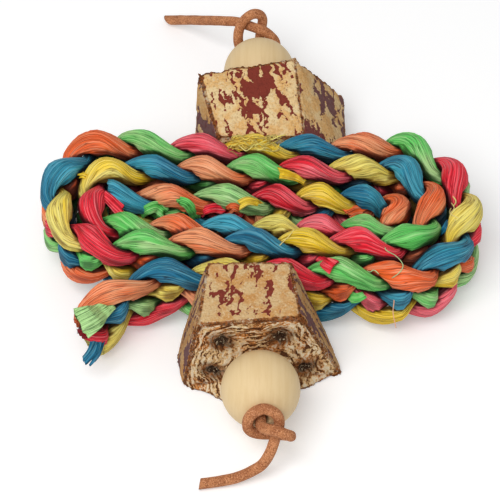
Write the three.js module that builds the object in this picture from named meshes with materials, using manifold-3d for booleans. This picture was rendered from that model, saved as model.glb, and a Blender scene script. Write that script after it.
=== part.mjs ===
// Plaited-leaf bird toy.
// A flat five-strand plait of dyed leaf is wound into an oval hank. A leather lace runs across the hank
// and carries a bark block and a wooden bead on each side, with an overhand knot outside each bead.
//
// Millimetres. +Z is up, +Y runs along the lace from the front bead to the rear bead, and +X runs to
// the right along the hank. The origin is under the middle of the toy, on the plane that the blocks
// stand on.
import * as THREE from "three";
import { ConvexGeometry } from "three/addons/geometries/ConvexGeometry.js";
import { mergeVertices } from "three/addons/utils/BufferGeometryUtils.js";
import Module from "manifold-3d";

// Driving dimensions, in millimetres unless a comment says otherwise

// Lace, and the bores that it runs through
const LACE_DIAMETER = 2.8;
const LACE_SIDES = 8;
const LACE_HEIGHT = 14.5; // the lace's middle above the plane that the blocks stand on
const BORE_DIAMETER = 4;
const BORE_SIDES = 20;
const SEAT_GAP = 0.3; // left between pieces that press on each other along the lace
const KNOT_STEPS = 60;

// Beads
const BEAD_DIAMETER = 20;
const BEAD_SIDES = 24;
const BEAD_PROFILE_STEPS = 11;

// Plait
const STRAND_COUNT = 5;
const PLAIT_THICKNESS = 8.4;
const EDGE_SWING = 6.8; // from the plait's middle line to a strand's middle at the edge
const CROSSING_OFFSET = 2.1; // a strand's middle in front of or behind the plait's middle plane
const STRAND_HALF_WIDTH = 2.9; // largest reach of a strand along the plait's width
const STRAND_HALF_THICKNESS = 3.7; // largest reach of a strand through the plait
const STRAND_GAP = 0.9; // left between strands that press on each other
const EYE_HALF_LENGTH = 4; // how far along the plait the strands open round the lace
const STRAND_SIDES = 6;
const LOBE_STEPS = 4; // sections for each edge lobe along the straight runs
const TIGHT_LOBE_STEPS = 8; // sections for each edge lobe round the two tightest turns
const TIGHT_RADIUS = 12;

// Hank: the plait's middle line, seen from above
const RIGHT_TURN_X = 30; // centre of every right-hand turn
const LEFT_TURN_X = 34.4; // centre of every left-hand turn, to the left of the lace
const FIRST_TURN_RADIUS = 6.2;
const WINDING_PITCH = 8.9;
const HALF_TURNS = 5;
const INNER_END_X = -36;
const PEEL_X = -25; // where the loose outer end leaves the hank
const PEEL_RADIUS = 22;
const PEEL_ANGLE = 0.8; // radians
const PEEL_LENGTH = 7.5;
const SQUEEZE = 0.123; // share of the depth that the blocks press out of the hank at the lace
const SQUEEZE_REACH = 24.5; // how far along the hank the blocks press it flat, to each side of the lace
const SQUEEZE_FADE = 15; // length over which the pressing then fades

// Edge lobes counted along the plait where the lace passes through each of its six runs
const LOBES_AT_LACE = [2.5, 9.5, 17, 25, 34, 43.5];
const END_LOBE_LENGTH = 15.5;

// Bark blocks: x to the right of the lace, z above the lace, and reach measured outwards along the lace
const BASE_Z = -LACE_HEIGHT;
const FRONT_BLOCK = {
  outward: -1,
  depth: 20.3,
  slant: -0.1,
  top: { outerLeft: -16.2, outerRight: 10.6, outerZ: 14.3, innerLeft: -13.7, innerRight: 7.8, innerZ: 14.3 },
  base: { outerLeft: -20.1, outerRight: 21.6, recess: 4.2, innerLeft: -20.5, innerRight: 17.6 },
  bulge: { x: -22, reach: 10 },
  ridge: null,
  foot: { x: -2.5, reach: 6.5, shoulderZ: -5 },
};
const REAR_BLOCK = {
  outward: 1,
  depth: 22.8,
  slant: 0.22,
  top: { outerLeft: -17, outerRight: 9.7, outerZ: 14.3, innerLeft: -11.6, innerRight: 12.2, innerZ: 7.9 },
  base: { outerLeft: -17.5, outerRight: 24, recess: 0, innerLeft: -18.5, innerRight: 23 },
  bulge: null,
  ridge: { x: 24, z: -3.8 },
  foot: null,
};

// Routes of the two lace ends, knot and tail: to the right of the lace, up from it, and outwards from the
// bead's pole
const FRONT_LACE_ROUTE = [
  [0, 0, 0.3], [0, 0, 1.2], [0.8, 0.5, 2.6], [2.4, 1.5, 4], [4.2, 2.2, 5], [5.8, 1.8, 5.5], [7, 0.8, 5.2],
  [7.4, -0.6, 4.3], [7, -2, 3], [5.9, -3.2, 1.9], [4.2, -3.9, 1.2], [2.2, -4.1, 1], [0.2, -3.7, 1.2],
  [-1.8, -2.8, 1.4], [-3, -1.2, 1.5], [-3.3, 0.8, 1.4], [-2.8, 2.8, 1], [-1.4, 4.4, 0.6], [0.6, 5.2, 0.3],
  [2.6, 4.7, 0.6], [4.1, 3.4, 1.1], [4.6, 1.7, 1.7], [4.3, -0.1, 2.4], [3.7, -1.8, 3.3], [3.2, -3.6, 4.1],
  [2.4, -5.7, 5.3], [0.5, -8.5, 6.9], [-2.4, -10.6, 7.7], [-6.1, -12, 8.5], [-10.4, -12.8, 9.1],
  [-15.2, -13, 9.7],
];
const REAR_LACE_ROUTE = [
  [0, 0, 0.3], [0, 0.1, 1.6], [0.1, 0.7, 3.1], [0.4, 2.2, 4.6], [0.8, 4, 5.6], [0.9, 5.7, 6.1],
  [0.2, 7.3, 6.1], [-1.4, 8.2, 5.6], [-3.2, 7.9, 4.8], [-4.7, 6.6, 4], [-5.6, 4.7, 3.2], [-6, 2.3, 2.5],
  [-5.8, -0.2, 2], [-5, -2.5, 1.6], [-3.3, -4.2, 1.3], [-1, -4.9, 1.1], [1.4, -4.7, 1.1], [3.5, -3.5, 1.2],
  [4.6, -1.5, 1.5], [4.5, 0.7, 1.9], [3.3, 2.7, 2.2], [1.3, 4.4, 2.5], [-1.2, 5, 3.2], [-3.5, 4, 5.4],
  [-6.6, 3.3, 7.6], [-10.7, 1.6, 9.8], [-15.1, -2.2, 14.1], [-19.5, -6.6, 19], [-23.2, -10.2, 22.9],
  [-26.7, -13, 25.9],
];

// Photo colours
const COLOURS = {
  blue: 0x3f7f95,
  orange: 0xd98a5f,
  green: 0x6f9a5c,
  red: 0xb5384a,
  yellow: 0xc9a545,
  bark: 0x8a5a3c,
  bead: 0xe3c79a,
  lace: 0xa8794c,
};
const STRAND_NAMES = ["blue", "orange", "green", "red", "yellow"];

const wasm = await Module();
wasm.setup();

function material(colour, roughness) {
  return new THREE.MeshStandardMaterial({ color: colour, roughness });
}

// Turns a geometry into a manifold solid
function toManifold(geometry) {
  const bare = geometry.clone();
  bare.deleteAttribute("normal");
  bare.deleteAttribute("uv");
  const welded = mergeVertices(bare, 1e-4);
  return new wasm.Manifold(new wasm.Mesh({
    numProp: 3,
    vertProperties: new Float32Array(welded.attributes.position.array),
    triVerts: new Uint32Array(welded.index.array),
  }));
}

function toGeometry(solid) {
  const mesh = solid.getMesh();
  const geometry = new THREE.BufferGeometry();
  geometry.setAttribute("position", new THREE.BufferAttribute(new Float32Array(mesh.vertProperties), 3));
  geometry.setIndex(new THREE.BufferAttribute(new Uint32Array(mesh.triVerts), 1));
  geometry.computeVertexNormals();
  return geometry;
}

// Joins equal rings of points into a closed tube with flat ends
function tubeFromRings(rings) {
  const sides = rings[0].length;
  const positions = rings.flat().flatMap((point) => point.toArray());
  const triangles = [];
  for (let ring = 0; ring + 1 < rings.length; ring += 1) {
    for (let side = 0; side < sides; side += 1) {
      const next = (side + 1) % sides;
      const a = ring * sides + side;
      const b = ring * sides + next;
      triangles.push(a, b, a + sides, b, b + sides, a + sides);
    }
  }
  const last = (rings.length - 1) * sides;
  for (let side = 1; side + 1 < sides; side += 1) {
    triangles.push(0, side + 1, side);
    triangles.push(last, last + side, last + side + 1);
  }
  const geometry = new THREE.BufferGeometry();
  geometry.setAttribute("position", new THREE.Float32BufferAttribute(positions, 3));
  geometry.setIndex(triangles);
  geometry.computeVertexNormals();
  return geometry;
}

// Middle line of the wound plait: straight runs and turns, each with its start, heading and bend
function hankSections() {
  const sections = [];
  let x = INNER_END_X;
  let y = FIRST_TURN_RADIUS;
  let heading = 0;
  let start = 0;
  const push = (length, bend) => {
    sections.push({ x, y, heading, start, length, bend });
    const end = pointOnSection(sections[sections.length - 1], length);
    x = end.x;
    y = end.y;
    heading = end.heading;
    start += length;
  };
  push(RIGHT_TURN_X - INNER_END_X, 0);
  for (let turn = 0; turn < HALF_TURNS; turn += 1) {
    const radius = FIRST_TURN_RADIUS + (turn * WINDING_PITCH) / 2;
    push(Math.PI * radius, -1 / radius);
    const runEnd = turn + 1 < HALF_TURNS ? LEFT_TURN_X : -PEEL_X;
    push(RIGHT_TURN_X + runEnd, 0);
  }
  push(PEEL_RADIUS * PEEL_ANGLE, 1 / PEEL_RADIUS);
  push(PEEL_LENGTH, 0);
  return sections;
}

function pointOnSection(section, distance) {
  const { x, y, heading, bend } = section;
  if (bend === 0) {
    return { x: x + distance * Math.cos(heading), y: y + distance * Math.sin(heading), heading };
  }
  const turned = heading + distance * bend;
  return {
    x: x + (Math.sin(turned) - Math.sin(heading)) / bend,
    y: y - (Math.cos(turned) - Math.cos(heading)) / bend,
    heading: turned,
  };
}

const SECTIONS = hankSections();
const LAST_SECTION = SECTIONS[SECTIONS.length - 1];
const PLAIT_LENGTH = LAST_SECTION.start + LAST_SECTION.length;
// Lengths along the plait at which its six runs meet the lace
const LACE_LENGTHS = SECTIONS.filter((section) => section.bend === 0)
  .slice(0, LOBES_AT_LACE.length)
  .map((section) => section.start + Math.abs(section.x));

// Length along the plait for a lobe count
function lengthAtLobe(lobe) {
  const last = LOBES_AT_LACE.length - 1;
  if (lobe <= LOBES_AT_LACE[0]) {
    return LACE_LENGTHS[0] + (lobe - LOBES_AT_LACE[0]) * END_LOBE_LENGTH;
  }
  if (lobe >= LOBES_AT_LACE[last]) {
    return LACE_LENGTHS[last] + (lobe - LOBES_AT_LACE[last]) * END_LOBE_LENGTH;
  }
  const run = LOBES_AT_LACE.findIndex((count) => count > lobe) - 1;
  const share = (lobe - LOBES_AT_LACE[run]) / (LOBES_AT_LACE[run + 1] - LOBES_AT_LACE[run]);
  return LACE_LENGTHS[run] + share * (LACE_LENGTHS[run + 1] - LACE_LENGTHS[run]);
}

function sectionAt(length) {
  const found = SECTIONS.find((section) => length < section.start + section.length);
  return found ?? LAST_SECTION;
}

// The lace passes through the eye between two crossings, so each run sits a little above or below it
const EYE_OFFSET = EDGE_SWING * (swing(0.15) - swing(0.05)) / 2;

function liftAtLobe(lobe) {
  const lifts = LOBES_AT_LACE.map((count) => (count % 1 === 0 ? EYE_OFFSET : -EYE_OFFSET));
  const last = lifts.length - 1;
  if (lobe <= LOBES_AT_LACE[0]) {
    return lifts[0];
  }
  if (lobe >= LOBES_AT_LACE[last]) {
    return lifts[last];
  }
  const run = LOBES_AT_LACE.findIndex((count) => count > lobe) - 1;
  const share = (lobe - LOBES_AT_LACE[run]) / (LOBES_AT_LACE[run + 1] - LOBES_AT_LACE[run]);
  const smooth = (1 - Math.cos(Math.PI * share)) / 2;
  return lifts[run] + smooth * (lifts[run + 1] - lifts[run]);
}

// Across the plait's width: a swing from edge to edge, between a triangle wave and a sine wave
function swing(phase) {
  const turn = phase - Math.floor(phase);
  const triangle = 1 - 4 * Math.abs(((turn + 0.25) % 1) - 0.5);
  return (triangle + Math.sin(2 * Math.PI * turn)) / 2;
}

// Through the plait's thickness: over one strand, under the next
function weave(phase) {
  const half = ((phase % 0.5) + 0.5) % 0.5;
  const folded = half > 0.35 ? half - 0.5 : half;
  if (folded <= 0.15) {
    return Math.cos((2 * Math.PI * (folded + 0.15)) / 0.2);
  }
  return -Math.cos((Math.PI * (folded - 0.15)) / 0.2);
}

// Middles of the five strands across the plait at a lobe count
function strandMiddles(lobe) {
  return STRAND_NAMES.map((_, strand) => {
    const phase = 0.25 + (lobe - strand) / STRAND_COUNT;
    return { u: EDGE_SWING * swing(phase), w: CROSSING_OFFSET * weave(phase) };
  });
}

// Reach of one strand from its middle in a direction: an oval, flattened where it meets a neighbour,
// the face of the plait or the lace. Neighbours count half a section before and after as well, so that
// strands stay clear of each other between the sections.
function strandReach(strand, lobe, spacing, angle, lace) {
  const du = Math.cos(angle);
  const dw = Math.sin(angle);
  const middle = strandMiddles(lobe)[strand];
  let reach = 1 / Math.hypot(du / STRAND_HALF_WIDTH, dw / STRAND_HALF_THICKNESS);
  if (dw !== 0) {
    reach = Math.min(reach, (PLAIT_THICKNESS / 2 - Math.sign(dw) * middle.w) / Math.abs(dw));
  }
  for (const shift of [-0.5, -0.25, 0, 0.25, 0.5]) {
    const middles = strandMiddles(lobe + shift * spacing);
    const own = middles[strand];
    middles.forEach((other, index) => {
      const distance = Math.hypot(other.u - own.u, other.w - own.w);
      const facing = du * (other.u - own.u) + dw * (other.w - own.w);
      if (index !== strand && facing > 0) {
        reach = Math.min(reach, ((distance - STRAND_GAP) / 2) * (distance / facing));
      }
    });
  }
  const towardsLace = Math.sign(lace.u - middle.u) * du;
  if (lace.halfHeight > 0 && towardsLace > 0) {
    reach = Math.min(reach, (Math.abs(lace.u - middle.u) - lace.halfHeight) / towardsLace);
  }
  return reach;
}

// Eye that the plait leaves open for the lace, at a length along the plait
function laceEye(length, lift) {
  const away = Math.min(...LACE_LENGTHS.map((at) => Math.abs(length - at)));
  const clear = LACE_DIAMETER / 2 + SEAT_GAP;
  return { u: -lift, halfHeight: clear * Math.max(0, 1 - away / EYE_HALF_LENGTH) };
}

// Bends the flat plait into the hank and presses it together round the lace
function intoHank(length, u, w, lift) {
  const section = sectionAt(length);
  const point = pointOnSection(section, length - section.start);
  const x = point.x + w * Math.sin(point.heading);
  const y = point.y - w * Math.cos(point.heading);
  const beyond = THREE.MathUtils.clamp((Math.abs(x) - SQUEEZE_REACH) / SQUEEZE_FADE, 0, 1);
  const pressed = 1 - (SQUEEZE * (1 + Math.cos(Math.PI * beyond))) / 2;
  return new THREE.Vector3(x, HANK_Y + y * pressed, LACE_HEIGHT + lift + u);
}

// Lobe counts at which the plait is cut into sections
function lobeSteps() {
  const first = LOBES_AT_LACE[0] - LACE_LENGTHS[0] / END_LOBE_LENGTH;
  const lastRun = LACE_LENGTHS[LACE_LENGTHS.length - 1];
  const last = LOBES_AT_LACE[LOBES_AT_LACE.length - 1] + (PLAIT_LENGTH - lastRun) / END_LOBE_LENGTH;
  const lobes = [first];
  let step = Math.ceil(first * TIGHT_LOBE_STEPS + 0.5);
  while (step / TIGHT_LOBE_STEPS < last - 0.5 / TIGHT_LOBE_STEPS) {
    const lobe = step / TIGHT_LOBE_STEPS;
    const bend = Math.abs(sectionAt(lengthAtLobe(lobe)).bend);
    const tight = bend > 1 / TIGHT_RADIUS;
    if (tight || step % (TIGHT_LOBE_STEPS / LOBE_STEPS) === 0) {
      lobes.push(lobe);
    }
    step += 1;
  }
  lobes.push(last);
  return lobes;
}

function strandRings(strand) {
  const lobes = lobeSteps();
  return lobes.map((lobe, index) => {
    const length = Math.min(Math.max(lengthAtLobe(lobe), 0), PLAIT_LENGTH);
    const lift = liftAtLobe(lobe);
    const middle = strandMiddles(lobe)[strand];
    const before = lobes[Math.max(index - 1, 0)];
    const after = lobes[Math.min(index + 1, lobes.length - 1)];
    const spacing = Math.max(lobe - before, after - lobe);
    const eye = laceEye(length, lift);
    const ring = [];
    for (let side = 0; side < STRAND_SIDES; side += 1) {
      const angle = (2 * Math.PI * side) / STRAND_SIDES;
      const reach = strandReach(strand, lobe, spacing, angle, eye);
      const u = middle.u + reach * Math.cos(angle);
      const w = middle.w + reach * Math.sin(angle);
      ring.push(intoHank(length, u, w, lift));
    }
    return ring;
  });
}

// Least gap between one winding of the plait and the next, measured on the sections' points
function leastWindingGap(ringsOfStrands) {
  const sectionCount = ringsOfStrands[0].length;
  const lobes = lobeSteps();
  const slices = [];
  for (let index = 0; index < sectionCount; index += 1) {
    slices.push(ringsOfStrands.flatMap((rings) => rings[index]));
  }
  let least = Infinity;
  for (let first = 0; first < sectionCount; first += 1) {
    for (let second = first + 1; second < sectionCount; second += 1) {
      if (lobes[second] - lobes[first] < STRAND_COUNT) {
        continue;
      }
      if (slices[first][0].distanceTo(slices[second][0]) > 3 * WINDING_PITCH) {
        continue;
      }
      for (const a of slices[first]) {
        for (const b of slices[second]) {
          least = Math.min(least, a.distanceTo(b));
        }
      }
    }
  }
  return least;
}

// Places along the lace, from the hank outwards, centred so that the beads end evenly front and rear
const HANK_HALF_DEPTH = (1 - SQUEEZE)
  * (FIRST_TURN_RADIUS + ((HALF_TURNS - 1) * WINDING_PITCH) / 2 + PLAIT_THICKNESS / 2);
const BEAD_RADIUS = BEAD_DIAMETER / 2;

function beadReach(block) {
  const seat = (BEAD_RADIUS + SEAT_GAP) * Math.hypot(1, block.slant);
  return HANK_HALF_DEPTH + SEAT_GAP + block.depth + seat;
}

const HANK_Y = (beadReach(FRONT_BLOCK) - beadReach(REAR_BLOCK)) / 2;
const POLE_Y = (beadReach(FRONT_BLOCK) + beadReach(REAR_BLOCK)) / 2 + BEAD_RADIUS;

// A bore along the lace, long enough to pass through any piece
function boreSolid() {
  const bore = new THREE.CylinderGeometry(BORE_DIAMETER / 2, BORE_DIAMETER / 2, 4 * POLE_Y, BORE_SIDES);
  bore.translate(0, 0, LACE_HEIGHT);
  return toManifold(bore);
}

// Bark block: a faceted body, with a bulge at its base, a ridge along its side or a spreading foot where it
// has one, bored for the lace
function blockGeometry(block) {
  const inner = HANK_Y + block.outward * (HANK_HALF_DEPTH + SEAT_GAP);
  const corner = (x, reach, z) => new THREE.Vector3(x, inner + block.outward * reach, LACE_HEIGHT + z);
  const faceReach = (x) => block.depth + block.slant * x;
  const { top, base, bulge, ridge, foot } = block;
  const baseLeft = corner(base.outerLeft, faceReach(base.outerLeft) - base.recess, BASE_Z);
  const baseRight = corner(base.outerRight, faceReach(base.outerRight) - base.recess, BASE_Z);
  const corners = [
    corner(top.outerLeft, faceReach(top.outerLeft), top.outerZ),
    corner(top.outerRight, faceReach(top.outerRight), top.outerZ),
    corner(top.innerLeft, 0, top.innerZ),
    corner(top.innerRight, 0, top.innerZ),
    corner(base.innerLeft, 0, BASE_Z),
    corner(base.innerRight, 0, BASE_Z),
    baseLeft,
    baseRight,
  ];
  if (bulge) {
    corners.push(corner(bulge.x, bulge.reach, BASE_Z));
  }
  if (ridge) {
    corners.push(corner(ridge.x, 0, ridge.z), corner(ridge.x, faceReach(ridge.x), ridge.z));
  }
  if (foot) {
    corners.push(corner(foot.x, faceReach(foot.x), BASE_Z));
  }
  let solid = toManifold(new ConvexGeometry(corners));
  if (foot) {
    const footCorners = [
      corner(foot.x, faceReach(foot.x) + foot.reach, BASE_Z),
      corner(foot.x, faceReach(foot.x), foot.shoulderZ),
      corner(foot.x, 0, BASE_Z),
      baseLeft,
      baseRight,
    ];
    solid = solid.add(toManifold(new ConvexGeometry(footCorners)));
  }
  return toGeometry(solid.subtract(boreSolid()));
}

// Bead: a sphere with a straight bore, turned about the lace
function beadGeometry() {
  const boreRadius = BORE_DIAMETER / 2;
  const edge = Math.asin(boreRadius / BEAD_RADIUS);
  const profile = [];
  for (let step = 0; step <= BEAD_PROFILE_STEPS; step += 1) {
    const angle = Math.PI - edge - (step / BEAD_PROFILE_STEPS) * (Math.PI - 2 * edge);
    profile.push(new THREE.Vector2(BEAD_RADIUS * Math.sin(angle), BEAD_RADIUS * Math.cos(angle)));
  }
  profile.push(profile[0].clone());
  const geometry = new THREE.LatheGeometry(profile, BEAD_SIDES);
  geometry.deleteAttribute("normal");
  geometry.deleteAttribute("uv");
  const welded = mergeVertices(geometry, 1e-4);
  welded.computeVertexNormals();
  return welded;
}

// Lace end: the knot outside a bead and its tail, as one tube with a cut end
function laceEndGeometry(outward, laceRoute) {
  const points = laceRoute.map(([right, up, out]) => (
    new THREE.Vector3(right, outward * (POLE_Y + out), LACE_HEIGHT + up)
  ));
  const route = new THREE.CatmullRomCurve3(points);
  const section = new THREE.Shape();
  for (let side = 0; side < LACE_SIDES; side += 1) {
    const angle = (2 * Math.PI * side) / LACE_SIDES;
    const place = [(LACE_DIAMETER / 2) * Math.cos(angle), (LACE_DIAMETER / 2) * Math.sin(angle)];
    if (side === 0) {
      section.moveTo(...place);
    } else {
      section.lineTo(...place);
    }
  }
  section.closePath();
  console.log(`lace end, ${route.getLength().toFixed(1)} mm long`);
  return new THREE.ExtrudeGeometry(section, { steps: KNOT_STEPS, extrudePath: route, bevelEnabled: false });
}

const toy = new THREE.Group();
toy.name = "plaited_leaf_bird_toy";

function addPiece(name, geometry, pieceMaterial) {
  const mesh = new THREE.Mesh(geometry, pieceMaterial);
  mesh.name = name;
  toy.add(mesh);
  return mesh;
}

const ringsOfStrands = STRAND_NAMES.map((_, strand) => strandRings(strand));
STRAND_NAMES.forEach((name, strand) => {
  addPiece(`strand_${name}`, tubeFromRings(ringsOfStrands[strand]), material(COLOURS[name], 0.6));
});
const leastGap = leastWindingGap(ringsOfStrands);
console.log(`plait ${PLAIT_LENGTH.toFixed(0)} mm, least gap ${leastGap.toFixed(2)} mm`);

addPiece("front_block", blockGeometry(FRONT_BLOCK), material(COLOURS.bark, 0.9));
addPiece("rear_block", blockGeometry(REAR_BLOCK), material(COLOURS.bark, 0.9));

const frontBead = addPiece("front_bead", beadGeometry(), material(COLOURS.bead, 0.5));
frontBead.position.set(0, BEAD_RADIUS - POLE_Y, LACE_HEIGHT);
const rearBead = addPiece("rear_bead", beadGeometry(), material(COLOURS.bead, 0.5));
rearBead.position.set(0, POLE_Y - BEAD_RADIUS, LACE_HEIGHT);

const coreRadius = LACE_DIAMETER / 2;
const core = new THREE.CylinderGeometry(coreRadius, coreRadius, 2 * POLE_Y, LACE_SIDES);
addPiece("lace_core", core, material(COLOURS.lace, 0.85)).position.set(0, 0, LACE_HEIGHT);

addPiece("front_lace_end", laceEndGeometry(-1, FRONT_LACE_ROUTE), material(COLOURS.lace, 0.85));
addPiece("rear_lace_end", laceEndGeometry(1, REAR_LACE_ROUTE), material(COLOURS.lace, 0.85));

export default toy;
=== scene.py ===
import math

import bpy
import numpy as np
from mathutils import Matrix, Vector
from mathutils.bvhtree import BVHTree


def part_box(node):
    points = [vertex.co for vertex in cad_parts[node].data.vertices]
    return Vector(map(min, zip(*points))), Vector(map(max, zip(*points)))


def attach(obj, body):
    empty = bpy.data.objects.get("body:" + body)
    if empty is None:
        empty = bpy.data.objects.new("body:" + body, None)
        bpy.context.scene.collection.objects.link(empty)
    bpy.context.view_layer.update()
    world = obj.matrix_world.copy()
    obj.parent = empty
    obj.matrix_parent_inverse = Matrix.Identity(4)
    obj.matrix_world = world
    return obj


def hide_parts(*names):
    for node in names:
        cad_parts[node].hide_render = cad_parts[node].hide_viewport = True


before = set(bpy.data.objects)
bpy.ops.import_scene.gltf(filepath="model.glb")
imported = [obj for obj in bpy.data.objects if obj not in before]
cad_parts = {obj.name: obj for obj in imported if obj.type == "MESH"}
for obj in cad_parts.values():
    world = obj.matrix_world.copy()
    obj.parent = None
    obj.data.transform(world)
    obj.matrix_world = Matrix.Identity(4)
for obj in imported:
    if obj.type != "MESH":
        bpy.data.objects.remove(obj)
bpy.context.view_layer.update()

MM = 0.001
TINY = 1e-6
HALF = 0.5
QUARTER = 0.25
BODY = "hank_and_lace"  # body of the strands and the lace

# Camera: where it looks and how far it stands away
AIM = (-2.65, -9.96, 14.5)
CAMERA_DISTANCE = 658.4
CAMERA_ELEVATION = math.radians(48)
CAMERA_BACK = np.array([0, -math.cos(CAMERA_ELEVATION), math.sin(CAMERA_ELEVATION)])
CAMERA_UP = np.array([0, math.sin(CAMERA_ELEVATION), math.cos(CAMERA_ELEVATION)])
LENS = 180
SENSOR = 36

# Light, with places and sizes in metres
WORLD_LIGHT = 0.47
KEY_PLACE = (-0.2, -0.4, 0.68)
KEY_SIZE = 0.5
KEY_POWER = 4.1
FLOOR_SIZE = 6.0
FLOOR_COLOUR = (0.9, 0.9, 0.9, 1)
FLOOR_GLOW = 0.23

# Lace, as in the CAD source: to the right of the lace, up from it, and outwards from the bead's pole
LACE_DIAMETER = 2.8
LACE_HEIGHT = 14.5
LACE_SIDES = 24
LACE_STEP = 0.4
LACE_WOBBLE = 0.07
LACE_WOBBLE_RATE = 1.3
LACE_WOBBLE_STEP = 0.12  # from ring to ring in the wobble's pattern
ROUTE_FINENESS = 40  # curve points from one point of a route to the next
FIRST_SIDE = (0.3, 0.5, 0.8)  # a direction in which no route starts
FRONT_CUT_SLANT = -0.3
REAR_CUT_SLANT = 0.95
CUT_LENGTH = 2.5
FRONT_LACE_ROUTE = [
    (0, 0, 0.3), (0, 0, 1.2), (0.8, 0.5, 2.6), (2.4, 1.5, 4), (4.2, 2.2, 5), (5.8, 1.8, 5.5), (7, 0.8, 5.2),
    (7.4, -0.6, 4.3), (7, -2, 3), (5.9, -3.2, 1.9), (4.2, -3.9, 1.2), (2.2, -4.1, 1), (0.2, -3.7, 1.2),
    (-1.8, -2.8, 1.4), (-3, -1.2, 1.5), (-3.3, 0.8, 1.4), (-2.8, 2.8, 1), (-1.4, 4.4, 0.6), (0.6, 5.2, 0.3),
    (2.6, 4.7, 0.6), (4.1, 3.4, 1.1), (4.6, 1.7, 1.7), (4.3, -0.1, 2.4), (3.7, -1.8, 3.3), (3.2, -3.6, 4.1),
    (2.4, -5.7, 5.3), (0.5, -8.5, 6.9), (-2.4, -10.6, 7.7), (-6.1, -12, 8.5), (-10.4, -12.8, 9.1),
    (-15.2, -13, 9.7),
]
REAR_LACE_ROUTE = [
    (0, 0, 0.3), (0, 0.1, 1.6), (0.1, 0.7, 3.1), (0.4, 2.2, 4.6), (0.8, 4, 5.6), (0.9, 5.7, 6.1),
    (0.2, 7.3, 6.1), (-1.4, 8.2, 5.6), (-3.2, 7.9, 4.8), (-4.7, 6.6, 4), (-5.6, 4.7, 3.2), (-6, 2.3, 2.5),
    (-5.8, -0.2, 2), (-5, -2.5, 1.6), (-3.3, -4.2, 1.3), (-1, -4.9, 1.1), (1.4, -4.7, 1.1), (3.5, -3.5, 1.2),
    (4.6, -1.5, 1.5), (4.5, 0.7, 1.9), (3.3, 2.7, 2.2), (1.3, 4.4, 2.5), (-1.2, 5, 3.2), (-3.5, 4, 5.4),
    (-6.6, 3.3, 7.6), (-10.7, 1.6, 9.8), (-15.1, -2.2, 14.1), (-19.5, -6.6, 19), (-23.2, -10.2, 22.9),
    (-26.7, -13, 25.9),
]
POLE_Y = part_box("lace_core")[1][1] / MM

# In every material: a shine is roughness and specular level, a bump is strength and depth, a noise is scale,
# detail and roughness, after a stretch where it has one, and a tint is the source that shows it, the source's
# values where it starts and is full, how strong it then is, and a screen colour.
LEATHER_SHINE = (0.8, 0.25)
LEATHER_BUMP = (0.7, 0.25)
LEATHER_NOISES = {"cloud": (0.35, 3), "grain": (3.0, 3, 0.65), "specks": (3.2, 2, 0.5)}
LEATHER_BASE = (170, 106, 66)
LEATHER_TINTS = (
    ("cloud", 0.35, 0.65, 1, (200, 134, 88)),
    ("grain", 0.53, 0.64, 0.75, (224, 164, 124)),
    ("grain", 0.48, 0.36, 0.8, (112, 62, 38)),
    ("specks", 0.66, 0.74, 0.8, (70, 38, 24)),
)

# Plait and hank, as in the CAD source
STRAND_NAMES = ("blue", "orange", "green", "red", "yellow")
STRAND_COUNT = len(STRAND_NAMES)
PLAIT_THICKNESS = 8.4
EDGE_SWING = 6.8
CROSSING_OFFSET = 2.1
EYE_HALF_LENGTH = 4
EYE_CLEARANCE = 0.3
RIGHT_TURN_X = 30
LEFT_TURN_X = 34.4
FIRST_TURN_RADIUS = 6.2
WINDING_PITCH = 8.9
HALF_TURNS = 5
INNER_END_X = -36
PEEL_X = -25
PEEL_RADIUS = 22
PEEL_ANGLE = 0.8
PEEL_LENGTH = 7.5
SQUEEZE = 0.123
SQUEEZE_REACH = 24.5
SQUEEZE_FADE = 15
LOBES_AT_LACE = np.array([2.5, 9.5, 17, 25, 34, 43.5])
END_LOBE_LENGTH = 15.5
# Phases of the weave, where 1 is a strand's whole way from edge to edge and back
CROSSING = 0.1  # from one crossing to the next
LAST_CROSSING = 0.15  # from the plait's middle to the last crossing before an edge
OVER_UNDER = 0.2  # of two crossings, over and under, and of the turn at an edge
HANK_Y = (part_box("front_block")[1][1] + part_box("rear_block")[0][1]) / 2 / MM

# Leaf: how full a strand is, and how deep its folds are. In all noises a rate is how fast they change, and
# a shift keeps them apart.
RIPPLE_COUNT = 25
LEAF_SIDES = 4 * RIPPLE_COUNT
LEAF_RINGS_PER_LOBE = 10
LEAF_GAP = 0.1
LEAF_HALF_WIDTH = 4.1
LEAF_HALF_THICKNESS = 4.6
LEAF_WAIST = 0.5  # how much thinner a strand is where it dives between two others
PINCH_SHADE = 0.3  # how much painted shade darkens a strand there
LEAF_SOFTNESS = 10
LEAF_WANDER = (0.4, 0.3)  # how far a strand strays across the plait and through it
LEAF_WANDER_RATE = 0.9
OUTER_BULGE = 0.9  # how far the outermost turn swells outwards, clear of the blocks
OUTER_TURN_LOBE = 30
PLEAT_STRIPS = 5
PLEAT_DEPTH = 0.55
PLEAT_EDGE = 0.06  # share of a strip that its step takes
PLEAT_CURVE = 1.3
RIPPLE_DEPTH = 0.15
RIPPLE_LEAST = 0.3
LUMP_DEPTH = 0.35
# Along a strand, and from strip to strip or round it
PLEAT_RATES = (0.8, 1.7)
RIPPLE_RATES = (1.1, 3)
LUMP_RATES = (1.2, 1.2)
TONE_RATES = (0.7, 2.3)
DRIFT_RATE = 0.7
PRESSED_FOLDS = 0.12  # share of the folds' depth that stays where others press a strand
FREE_RANGE = (0.5, 0.92)
SHALLOW_REACH = 2.6  # under this reach the folds get shallower
TWIST_PER_LOBE = 0.42  # radians
TWIST_RATE = 0.5
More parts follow.
